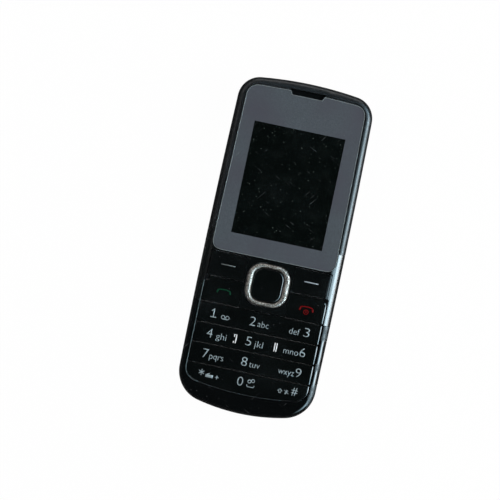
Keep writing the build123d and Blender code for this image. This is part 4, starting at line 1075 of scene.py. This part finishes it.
@dataclass
class NumberRows:
    """Four crowned strips with digits, generic letter groups and signs."""

    half: float = 20.0
    lines: tuple[float, ...] = (-20.704, -27.400, -33.901, -40.500, -47.498)
    gap: float = 0.2
    low: float = 11.35
    height: float = 2.05
    crown: float = 0.18
    edge: float = 0.6
    seam_edge: float = 0.10
    corner: float = 0.45
    bottom_bow: float = 2.13
    bottom_round: float = 4.5
    spacing: float = 0.35
    ridge_width: float = 1.2
    ridge_length: float = 2.7
    ridge_rise: float = 0.25
    ridge_place: float = 6.6
    ridge_edge: float = 0.24
    # width of the highlight lines painted on the ridges' edges
    ridge_highlight_width: float = 0.34
    lip_inset: float = 0.14
    lip_width: float = 0.24
    lip_low_width: float = 0.06
    lip_start: float = -14.2
    lip_end: float = 12.0
    lip_corner: float = 4.6
    lip_knee: float = 0.5
    digit_height: float = 2.87
    digit_thinner: float = 0.012
    letter_height: float = 1.27
    letter_thinner: float = 0.010
    stroke: float = 0.27
    bases: tuple[float, ...] = (-25.45, -31.95, -38.58, -45.0)
    digits: tuple[str, ...] = ("123", "456", "789")
    digit_spans: tuple[Point, ...] = ((-15.8, -13.95), (-3.12, -1.25), (14.5, 16.35))
    letters: tuple[tuple[tuple[str, Point], ...], ...] = (
        (("abc", (-0.5, 3.1)), ("def", (9.8, 13.2))),
        (("ghi", (-12.7, -9.35)), ("jkl", (-0.2, 2.55)), ("mno", (9.3, 14.1))),
        (("pqrs", (-13.45, -8.9)), ("tuv", (-0.5, 2.95)), ("wxyz", (9.0, 14.15))),
    )
    star: Point = (-14.85, 1.75)
    star_reach: float = 0.85
    star_width: float = 0.24
    sign_strokes: tuple[tuple[float, tuple[Point, ...]], ...] = (
        (0.24, ((14.85, 0.5), (15.25, 2.87))), (0.24, ((15.65, 0.5), (16.05, 2.87))),
        (0.22, ((14.6, 1.3), (16.35, 1.3))), (0.22, ((14.6, 2.1), (16.35, 2.1))),
        (0.9, ((-13.0, 0.95), (-11.45, 0.95))), (0.3, ((-12.85, 1.5), (-12.3, 1.75))),
        (0.2, ((-10.25, 1.0), (-9.25, 1.0))), (0.2, ((-9.75, 0.5), (-9.75, 1.5))),
        (0.2, ((0.1, 0.75), (0.35, 0.2), (2.25, 0.2), (2.5, 0.75))),
        (0.17, ((10.85, 1.75), (11.55, 1.1), (11.15, 1.1), (11.15, 0.5), (10.55, 0.5), (10.55, 1.1),
                (10.15, 1.1), (10.85, 1.75))),
        (0.2, ((12.9, 0.6), (12.9, 1.7), (13.4, 1.45))), (0.15, ((12.25, 1.55), (13.65, 0.6))),
    )
    sign_rings: tuple[tuple[float, float, float, float, int], ...] = (
        (0.75, 1.95, 0.5, 0.22, 18), (1.85, 2.3, 0.5, 0.22, 18), (12.72, 0.62, 0.15, 0.28, 12),
    )

    def ends(self, row: int) -> tuple[float, float]:
        """Lower and upper edge of a row, numbered from 1, in millimetres."""
        low = self.lines[row] + (self.gap / 2 if row < 4 else 0.0)
        return low, self.lines[row - 1] - self.gap / 2

    def bottom_radius(self) -> float:
        """Radius of the keypad's curved lower edge, (h^2 + b^2) / (2 b) for half width h and bow b."""
        return (self.half**2 + self.bottom_bow**2) / (2 * self.bottom_bow)

    def outline(self, row: int) -> np.ndarray:
        """The row's outline; the last one follows the keypad's curved lower edge.

        Its round corner has its centre at (h - r, c - sqrt((R - r)^2 - (h - r)^2)), where R is the curved
        edge's radius and c its centre's place.

        Args:
            row: the row's number from 1.

        Returns:
            The outline's points.
        """
        low, high = self.ends(row)
        if row < 4:
            box = rounded_box(2 * self.half, high - low, self.corner, (0.0, (low + high) / 2))
            return even(box, self.spacing)
        big = self.bottom_radius()
        centre = low + big
        side = self.half - self.bottom_round
        level = centre - math.sqrt((big - self.bottom_round) ** 2 - side**2)
        lean = math.degrees(math.atan2(side, centre - level))
        rim = np.concatenate([
            arc((0.0, centre), big, -90 - lean, -90 + lean, 40),
            arc((side, level), self.bottom_round, -90 + lean, 0.0, 14),
            arc((self.half - self.corner, high - self.corner), self.corner, 0.0, 90.0, 6),
            arc((self.corner - self.half, high - self.corner), self.corner, 90.0, 180.0, 6),
            arc((-side, level), self.bottom_round, 180.0, 270.0 - lean, 14),
        ])
        return even(rim, self.spacing)

    def prints(self, row: int) -> list[Flat]:
        """The flat legends of a row: a digit and its letters in three columns, or the signs.

        Args:
            row: the row's number from 1.

        Returns:
            Flat shapes.
        """
        base = self.bases[row - 1]
        if row == 4:
            return self.signs(base)
        shapes = []
        for digit, span in zip(self.digits[row - 1], self.digit_spans):
            shapes += self.one(span, base) if digit == "1" else [self.digit(digit, span, base)]
        shapes += [lettering(group, span, base, self.letter_height, "x", self.letter_thinner)
                   for group, span in self.letters[row - 1]]
        return shapes + (self.tape(base) if row == 1 else [])

    def digit(self, digit: str, span: Point, base: float) -> Flat:
        """A digit of the font, fitted between two ends and standing on a line."""
        return lettering(digit, span, base, self.digit_height, digit, self.digit_thinner)

    def one(self, span: Point, base: float) -> list[Flat]:
        """The digit one: a stem with a flag and a foot.

        Args:
            span: its left and right ends.
            base: the line that it stands on.

        Returns:
            Flat shapes.
        """
        flag_inset, flag_drop, foot_inset = 0.25, 0.62, 0.1
        left, right = span
        middle, low = (left + right) / 2, base + self.stroke / 2
        high = base + self.digit_height - self.stroke / 2
        strokes = (((middle, low), (middle, high)), ((left + flag_inset, high - flag_drop), (middle, high)),
                   ((left + foot_inset, low), (right - foot_inset, low)))
        return [line(*stroke, width=self.stroke) for stroke in strokes]

    def tape(self, base: float) -> list[Flat]:
        """The usual sign for recorded calls: two rings on a line.

        Args:
            base: the line that it stands on.

        Returns:
            Flat shapes.
        """
        middles, width, foot_up, ring_up, radius, steps = (-11.75, -10.35), 0.2, 0.12, 0.72, 0.56, 20
        foot = line(*((x, base + foot_up) for x in middles), width=width)
        return [ring((x, base + ring_up), radius, width, steps) for x in middles] + [foot]

    def signs(self, base: float) -> list[Flat]:
        """Star, zero, hash and the small signs of the last row.

        Args:
            base: the line that they stand on.

        Returns:
            Flat shapes.
        """
        x, y = self.star[0], base + self.star[1]
        spokes = [line((x, y), (x + self.star_reach * math.cos(turn), y + self.star_reach * math.sin(turn)),
                       width=self.star_width) for turn in np.radians(np.arange(30, 390, 60))]
        strokes = [line(*((x, base + y) for x, y in places), width=width)
                   for width, places in self.sign_strokes]
        rings = [ring((x, base + y), radius, width, steps)
                 for x, y, radius, width, steps in self.sign_rings]
        return spokes + strokes + rings + [self.digit("0", self.digit_spans[1], base)]

    def build(self) -> None:
        """Make the strips, the two ridges beside the middle digit, the legends and the painted highlight
        lines.
        """
        for row in range(1, 5):
            low, high = self.ends(row)
            top = Arch(low, high, self.low + self.height, self.crown)
            rim = self.outline(row)
            rounds = side_rounds(rim, self.half, self.edge, self.seam_edge)
            surfaces = [cap_surface(rim, self.low, top, rounds)]
            if row == 2:
                surfaces += [self.ridge(x) for x in (-self.ridge_place, self.ridge_place)]
            body = f"row_{row}"
            piece(f"number_strip_{row}", surfaces, Paint.KEYS, body, (f"key_row_{row}",))
            legends = [draped(shape, top) for shape in self.prints(row)]
            piece(f"number_print_{row}", legends, Print.WHITE, body, thickness=INK_THICKNESS)
        self.painted_ridge_highlights()
        self.lip()

    def ridge(self, place: float) -> Surface:
        """One of the two ridges that a thumb feels beside the middle digit.

        Args:
            place: its place along X.

        Returns:
            Points in millimetres and quads.
        """
        corner, spacing = self.ridge_width * 0.48, 0.12
        middle = (place, sum(self.ends(2)) / 2)
        outline = even(rounded_box(self.ridge_width, self.ridge_length, corner, middle), spacing)
        top = Level(self.low + self.height + self.ridge_rise)
        return cap_surface(outline, self.low + self.height - self.crown, top, self.ridge_edge)

    def painted_ridge_highlights(self) -> None:
        """Pale lines painted on the two ridges as highlights on their edges, the left one's outer edge in two
        lengths.
        """
        middle = sum(self.ends(2)) / 2
        top = Level(self.low + self.height + self.ridge_rise)
        place, end_inset, side_inset, high_length, low_length = self.ridge_place, 0.1, 0.28, 0.5, 0.3
        reach = self.ridge_length / 2 - end_inset
        side = self.ridge_width / 2 - side_inset
        bars = ((side - place, -reach, reach), (-place - side, reach - high_length, reach),
                (-place - side, -reach, low_length - reach), (place - side, -reach, reach),
                (place + side, -reach, reach))
        shapes = [draped(line((x, middle + low), (x, middle + high), width=self.ridge_highlight_width), top, HIGHLIGHT_LIFT)
                  for x, low, high in bars]
        piece("ridge_highlights", shapes, Print.RIDGE_HIGHLIGHT, "row_2", thickness=HIGHLIGHT_THICKNESS)

    def lip(self) -> None:
        """A pale line painted on the recess edge as a highlight, along the left side, the lower left corner
        and the bottom.

        Below it follows y = low + x^2 / (2 R), where R is the curved edge's radius.
        """
        steps, bend_steps = 60, 14
        half, low = self.half + self.lip_inset, self.lines[4] - self.lip_inset
        across = np.linspace(self.bottom_round - self.half, self.lip_end, steps)
        under = np.stack([across, low + across**2 / (2 * self.bottom_radius())], axis=-1)
        first = np.array([-half, under[0, 1] + self.lip_corner])
        knee = np.array([-half, under[0, 1] + self.lip_knee])
        down = np.stack([np.full(steps, -half), np.linspace(self.lip_start, first[1], steps)], axis=-1)
        side = np.vstack([down, bend(first, knee, under[0], bend_steps)[1:]])
        top = Level(self.low + self.height)
        shapes = [draped(ribbon(path, width), top, HIGHLIGHT_LIFT, COARSE_BAND)
                  for path, width in ((side, self.lip_width), (under, self.lip_low_width))]
        piece("keypad_lip_highlight", shapes, Print.LIP_HIGHLIGHT, "phone", thickness=HIGHLIGHT_THICKNESS)


@dataclass
class CallKeys:
    """Selection keys with dashes, and the call and end keys with their handsets."""

    collar: float = 7.64
    soft_half: float = 19.6
    half: float = 20.0
    window_bottom: float = -4.202
    split: float = -12.398
    seam: float = -20.704
    gap: float = 0.2
    low: float = 11.35
    soft_top: float = 13.35
    call_top: float = 13.40
    crown: float = 0.18
    edge: float = 0.6
    seam_edge: float = 0.0
    stem_low: float = 10.3
    stem_radius: float = 1.2
    stem_overlap: float = 0.2
    stem_x: float = 15.04
    soft_stem_y: float = -8.30
    call_stem_y: float = -16.551
    corner: float = 0.5
    upper_round: float = 3.0
    spacing: float = 0.3
    dash_ends: Point = (11.4, 15.7)
    dash_y: float = -8.2
    dash_width: float = 0.32
    handset_y: float = -17.0
    handset_half: float = 2.05
    grip_width: float = 0.36
    end_width: float = 0.5
    call_x: float = -13.2
    call_droop: float = 0.95
    end_x: float = 13.75
    end_droop: float = 1.05
    button: tuple[float, float, float, int] = (-17.65, 0.72, 0.24, 24)
    button_bar: tuple[float, float, float] = (-17.75, -17.35, 0.3)

    def outline(self, side: Side, soft: bool) -> np.ndarray:
        """Outline of one key, round at the outer upper corner if it is a call key.

        Args:
            side: the phone's side.
            soft: True for a selection key.

        Returns:
            The outline's points, counterclockwise.
        """
        sign, small = side.value, self.corner
        outer = self.soft_half if soft else self.half
        low = self.split + self.gap / 2 if soft else self.seam + self.gap / 2
        high = self.window_bottom - self.gap if soft else self.split - self.gap / 2
        large = small if soft else self.upper_round
        rim = np.concatenate([
            arc((outer - small, low + small), small, -90, 0, 6),
            arc((outer - large, high - large), large, 0, 90, 14),
            arc((self.collar + small, high - small), small, 90, 180, 6),
            arc((self.collar + small, low + small), small, 180, 270, 6),
        ])
        rim[:, 0] *= sign
        return even(rim if sign > 0 else rim[::-1], self.spacing)

    def stem(self, side: Side, y: float) -> Surface:
        """The round stem under a key, at a place along Y, up into the cap."""
        return stem_surface((side.value * self.stem_x, y), self.stem_radius, self.stem_low,
                            self.low + self.stem_overlap)

    def handset(self, x: float, droop: float) -> list[Flat]:
        """A telephone handset lying on its side: a flat arched grip with two ends that hang down.

        The grip is (h cos a, droop sin^0.4 a) for a from 8 to 172 degrees, where h is half its length.

        Args:
            x: its middle along X in millimetres.
            droop: how far its ends hang below the middle.

        Returns:
            Flat shapes.
        """
        y, inner_reach, outer_reach, root_share, tip_drop = self.handset_y, 1.98, 2.1, 0.35, 0.1
        angle = np.radians(np.linspace(8, 172, 36))
        grip = np.stack([self.handset_half * np.cos(angle), droop * np.sin(angle) ** 0.4], axis=-1)
        ends = [line((x + sign * inner_reach, y + root_share * droop), (x + sign * outer_reach, y - tip_drop),
                     width=self.end_width) for sign in (-1, 1)]
        return [ribbon(grip + np.asarray((x, y)), self.grip_width)] + ends

    def selection_key(self, side: Side) -> None:
        """Make a selection key with its dash.

        Args:
            side: the phone's side.
        """
        # the same dash ink, painted darker on the left as shade and paler on the right as lit
        word, ink = side.name.lower(), Print.DASH_SHADED if side is Side.LEFT else Print.DASH_LIT
        top, body = Level(self.soft_top), f"soft_{word}"
        cap = cap_surface(self.outline(side, True), self.low, top, self.seam_edge)
        piece(f"selection_key_{word}", [cap, self.stem(side, self.soft_stem_y)], Paint.GLOSS, body,
              (f"soft_key_{word}",))
        dash = line(*((side.value * x, self.dash_y) for x in self.dash_ends), width=self.dash_width)
        piece(f"selection_dash_{word}", [draped(dash, top)], ink, body, thickness=INK_THICKNESS)

    def call_key(self, side: Side) -> None:
        """Make the call key or the end key with its handset, the latter's with a small button below.

        Args:
            side: the phone's side.
        """
        hand, node = ("call", "call_key") if side is Side.LEFT else ("end", "end_key")
        top = Arch(self.seam, self.split, self.call_top, self.crown)
        rim = self.outline(side, False)
        cap = cap_surface(rim, self.low, top, side_rounds(rim, self.half, self.edge, self.seam_edge))
        piece(f"{hand}_cap", [cap, self.stem(side, self.call_stem_y)], Paint.KEYS, hand, (node,))
        if side is Side.LEFT:
            shapes, ink = self.handset(self.call_x, self.call_droop), Print.GREEN
        else:
            shapes, ink = self.handset(self.end_x, self.end_droop), Print.RED
            y, radius, width, steps = self.button
            low, high, bar_width = self.button_bar
            shapes += [ring((self.end_x, y), radius, width, steps),
                       line((self.end_x, low), (self.end_x, high), width=bar_width)]
        piece(f"{hand}_print", [draped(shape, top) for shape in shapes], ink, hand,
              thickness=INK_THICKNESS)

    def build(self) -> None:
        """Make the four keys with their stems and prints."""
        for side in Side:
            self.selection_key(side)
            self.call_key(side)


@dataclass
class SelectPad:
    """The chrome ring that rocks four ways and the black key inside it."""

    centre: Point = (0.0, -11.923)
    width: float = 13.7
    height: float = 13.3
    corner: float = 4.5
    side_band: float = 1.75
    end_band: float = 1.15
    low: float = 11.45
    top: float = 14.0
    crest_drop: float = 0.62
    crest_power: float = 0.75
    dent: float = 0.02
    corner_steps: int = 22
    rim_steps: int = 400
    section_steps: int = 17
    key_gap: float = 0.25
    key_low: float = 11.9
    key_top: float = 13.65
    key_edge: float = 0.42
    key_dip: float = 0.22
    key_spacing: float = 0.22
    stem_low: float = 10.3
    stem_radius: float = 1.6
    stem_overlap: float = 0.2

    def rim(self, inset_x: float, inset_y: float) -> np.ndarray:
        """The ring's rounded outline, drawn in and with as many points as any other.

        Args:
            inset_x: how far its sides are drawn in.
            inset_y: how far its ends and its corner radius are drawn in.

        Returns:
            The outline's points.
        """
        outline = rounded_box(self.width - 2 * inset_x, self.height - 2 * inset_y, self.corner - inset_y,
                              self.centre, self.corner_steps)
        place = np.linspace(0, len(outline), self.rim_steps, endpoint=False)
        number = np.arange(len(outline) + 1)
        return np.stack([np.interp(place, number, np.append(outline[:, axis], outline[0, axis]))
                         for axis in (0, 1)], -1)

    def band(self) -> Surface:
        """The ring's band: points (1 - t) outer + t inner, at the height of a rounded section.

        The section is t = (1 - cos a) / 2 and z = top - d (1 - sin^p a), closed by a flat underside. A few
        waves of small size stand for the dents that wear leaves in the crest.

        Returns:
            Points in millimetres and quads.
        """
        outer, inner = self.rim(0.0, 0.0), self.rim(self.side_band, self.end_band)
        turn = np.linspace(0.0, math.pi, self.section_steps)
        crest = self.top - self.crest_drop * (1 - np.sin(turn) ** self.crest_power)
        share = np.concatenate([[0.0], (1 - np.cos(turn)) / 2, [1.0, 0.0]])
        level = np.concatenate([[self.low], crest, [self.low, self.low]])
        flat = outer[None] * (1 - share)[:, None, None] + inner[None] * share[:, None, None]
        phase = np.linspace(0, 2 * math.pi, self.rim_steps, endpoint=False)
        wave = (np.sin(23 * phase + 0.7) * np.sin(41 * phase) + np.sin(67 * phase + 2.0) * 0.5) * self.dent
        height = level[:, None] - np.abs(wave)[None] * np.isin(level, crest)[:, None]
        points = np.concatenate([flat, height[..., None]], axis=-1)
        return points.reshape(-1, 3), band_faces(len(share), self.rim_steps)

    def build(self) -> None:
        """Make the ring and the select key."""
        piece("worn_ring", [self.band()], Paint.CHROME, "ring", ("nav_ring",))
        width = self.width - 2 * self.side_band - 2 * self.key_gap
        height = self.height - 2 * self.end_band - 2 * self.key_gap
        corner = self.corner - self.end_band - self.key_gap
        outline = even(rounded_box(width, height, corner, self.centre), self.key_spacing)
        top = Dish(self.centre, (width / 2, height / 2), self.key_top, self.key_dip)
        stem = stem_surface(self.centre, self.stem_radius, self.stem_low, self.key_low + self.stem_overlap)
        piece("select_key", [cap_surface(outline, self.key_low, top, self.key_edge), stem], Paint.KEYS,
              "centre", ("centre_key",))


@dataclass
class LensRimHighlight:
    """A pale line painted along the lens edge as the highlight on its bevel."""

    low_half: float = 20.05
    high_half: float = 19.15
    low: float = -3.65
    high: float = 50.64
    bow: float = 0.55
    low_round: float = 3.1
    high_round: float = 3.9
    notch_high_half: float = 5.62
    notch_low_half: float = 4.95
    notch_depth: float = 1.33
    notch_drop: float = 0.05
    notch_high_round: float = 0.2
    notch_low_round: float = 0.3
    width: float = 0.16
    level: float = 13.3
    lift: float = 0.012
    thickness: float = 0.01
    spacing: float = 0.3

    def build(self) -> None:
        """Trace the rim round its right half, mirror it for the left, and lay it on the lens."""
        right = [
            (self.low_half, self.low, self.low_round),
            (self.high_half, self.high - self.bow, self.high_round),
            (self.notch_high_half, self.high - self.notch_drop, self.notch_high_round),
            (self.notch_low_half, self.high - self.notch_depth, self.notch_low_round),
        ]
        left = [(-x, y, radius) for x, y, radius in reversed(right)]
        rim = even(rounded_corners([left[-1], *right, *left[:-1]]), self.spacing)
        path = np.vstack([rim, rim[:1]])
        piece("lens_rim_highlight", [draped(ribbon(path, self.width), Level(self.level), self.lift, COARSE_BAND)],
              Print.RIM_HIGHLIGHT, "phone", thickness=self.thickness)


# Studio


@dataclass
class Studio:
    """Round pale floor with a raised rim, soft lamps and the camera."""

    floor_radius: float = 2.2
    rim_radius: float = 0.7
    rim_height: float = 1.6
    turn: float = 12.0
    lens: float = 110.0
    pixels_per_mm: float = 3.133
    centre_right_mm: float = 8.04
    centre_up_mm: float = 0.30
    face_height: float = 0.0134
    image_pixels: float = 500.0
    sensor: float = 36.0
    near: float = 0.01
    far: float = 20.0
    floor_colours: tuple[Colour, Colour] = ((0.86, 0.86, 0.86), (0.90, 0.90, 0.90))
    gloss_floor: Colour = (0.10, 0.10, 0.10)
    floor_roughness: float = 0.85
    floor_specular: float = 0.1
    floor_glow: float = 0.98
    horizon: float = 0.85
    zenith: float = 0.27
    gloss_room_share: float = 0.07
    window_reach: Point = (0.34, 0.80)
    window_side: Point = (0.45, 0.75)
    window_strength: float = 18.0
    window_tint: Colour = (0.58, 0.85, 1.0)
    lamps: tuple[tuple[str, Triple, Point, float], ...] = (
        ("right softbox", (0.95, 0.10, 0.62), (0.5, 0.9), 9.0),
        ("left softbox", (-0.75, 0.55, 0.85), (0.9, 0.9), 2.5),
        ("back softbox", (0.0, 1.0, 0.42), (0.9, 0.3), 3.0),
    )

    def floor(self) -> None:
        """A disc that curves up into a wall: radius and height along a quarter circle, turned about Z."""
        rim_steps, round_steps = 10, 96
        sweep = np.linspace(0.0, math.pi / 2, rim_steps)[1:]
        wall = self.floor_radius + self.rim_radius
        radius = np.concatenate([[0.0, self.floor_radius],
                                 self.floor_radius + self.rim_radius * np.sin(sweep), [wall]])
        height = np.concatenate([[0.0, 0.0], self.rim_radius * (1 - np.cos(sweep)), [self.rim_height]])
        angle = np.linspace(0.0, 2 * math.pi, round_steps + 1)[:-1]
        points = np.stack([radius[:, None] * np.cos(angle), radius[:, None] * np.sin(angle),
                           height[:, None] * np.ones_like(angle)], axis=-1)
        faces = band_faces(len(radius), len(angle))[:, ::-1]
        mesh = bpy.data.meshes.new("floor")
        mesh.from_pydata(points.reshape(-1, 3).tolist(), [], faces.tolist())
        mesh.polygons.foreach_set("use_smooth", [True] * len(mesh.polygons))
        mesh.materials.append(self.floor_paint())
        floor = put("floor", mesh)

    def floor_paint(self) -> bpy.types.Material:
        """White to the camera and in glass, grey in gloss, and a plain pale surface to every other ray.

        Returns:
            The material.
        """
        book = NodeBook(bpy.data.materials.new("floor paint"))
        path = book.add("ShaderNodeLightPath").outputs
        pale = book.blend(book.remap(book.noise(18.0, 4.0), 0.3, 0.7), *self.floor_colours)
        shader = book.add("ShaderNodeBsdfPrincipled", {
            "Base Color": book.blend(path["Is Glossy Ray"], pale, self.gloss_floor),
            "Roughness": self.floor_roughness, "Specular IOR Level": self.floor_specular})
        glow = book.add("ShaderNodeEmission", {"Color": (*WHITE, 1.0), "Strength": 1.0})
        seen = book.sum_up("MAXIMUM", path["Is Camera Ray"], path["Is Transmission Ray"])
        mix = book.add("ShaderNodeMixShader", {"Fac": book.sum_up("MULTIPLY", seen, self.floor_glow)})
        book.join(shader.outputs[0], mix.inputs[1])
        book.join(glow.outputs[0], mix.inputs[2])
        return book.done(mix)

    def air(self) -> bpy.types.World:
        """A dim room, dark overhead, with a tall bright window that only gloss shows on the right.

        The room's strength is zenith + (horizon - zenith)(1 - z), and gloss shows a share of it. The
        window's is its own strength times how far the direction turns to the right, between two limits,
        where it isn't turned too far to the front or the back.

        Returns:
            The world.
        """
        def product(*values: Socket) -> Socket:
            """The product of some sockets, which may pass 1."""
            return book.sum_up("MULTIPLY", *values, clamp=False)

        book = NodeBook(bpy.data.worlds.new("studio air"))
        direction = book.add("ShaderNodeTexCoord").outputs["Generated"]
        axes = book.add("ShaderNodeSeparateXYZ", {"Vector": direction}).outputs
        glossy = book.add("ShaderNodeLightPath").outputs["Is Glossy Ray"]
        even_room = book.remap(axes["Z"], 0.0, 1.0, self.horizon, self.zenith)
        room = product(even_room, book.remap(glossy, 0.0, 1.0, 1.0, self.gloss_room_share))
        rightward = book.remap(axes["X"], *self.window_reach, 0.0, self.window_strength)
        inner, outer = self.window_side
        front = book.remap(axes["Y"], -outer, -inner)
        back = book.remap(axes["Y"], inner, outer, 1.0, 0.0)
        window = product(rightward, product(front, back))
        return book.done(book.add("ShaderNodeBackground", {
            "Color": book.blend(glossy, WHITE, self.window_tint),
            "Strength": book.sum_up("ADD", room, product(glossy, window), clamp=False)}))

    def lamp(self, name: str, place: Triple, size: Point, watts: float) -> None:
        """A soft rectangular lamp that faces the phone.

        Args:
            name: the lamp's name.
            place: where it stands, in metres.
            size: its width and height in metres.
            watts: its power.
        """
        data = bpy.data.lights.new(name, "AREA")
        data.shape = "RECTANGLE"
        data.size, data.size_y = size
        data.energy = watts
        lamp = put(name, data)
        lamp.location = place
        x, y, z = place
        lamp.rotation_euler = (math.atan2(math.hypot(x, y), z), 0.0, math.atan2(-x, y) + math.pi)

    def camera(self) -> None:
        """Straight above the phone, turned so that it leans as in the photograph."""
        data = bpy.data.cameras.new("camera")
        data.lens = self.lens
        data.sensor_width = self.sensor
        data.clip_start = self.near
        data.clip_end = self.far
        camera = put("camera", data)
        turn = math.radians(self.turn)
        across = np.array([math.cos(turn), math.sin(turn)])
        upward = np.array([-math.sin(turn), math.cos(turn)])
        spot = -(self.centre_right_mm * across + self.centre_up_mm * upward) * MM
        distance = self.lens / self.sensor * self.image_pixels / (self.pixels_per_mm / MM)
        camera.location = (spot[0], spot[1], self.face_height + distance)
        camera.rotation_euler = (0.0, 0.0, turn)
        bpy.context.scene.camera = camera

    def build(self) -> None:
        """Put the floor, the lamps, the world and the camera in the scene."""
        scene = bpy.context.scene
        scene.view_settings.view_transform = "Standard"
        self.floor()
        scene.world = self.air()
        for lamp in self.lamps:
            self.lamp(*lamp)
        self.camera()
        LOG.info("studio ready")


def main() -> None:
    """Build the phone's looks and the studio round it."""
    logging.basicConfig(level=logging.INFO)
    dress_nodes()
    NumberRows().build()
    CallKeys().build()
    SelectPad().build()
    LensRimHighlight().build()
    Studio().build()


if __name__ == "__main__":
    main()
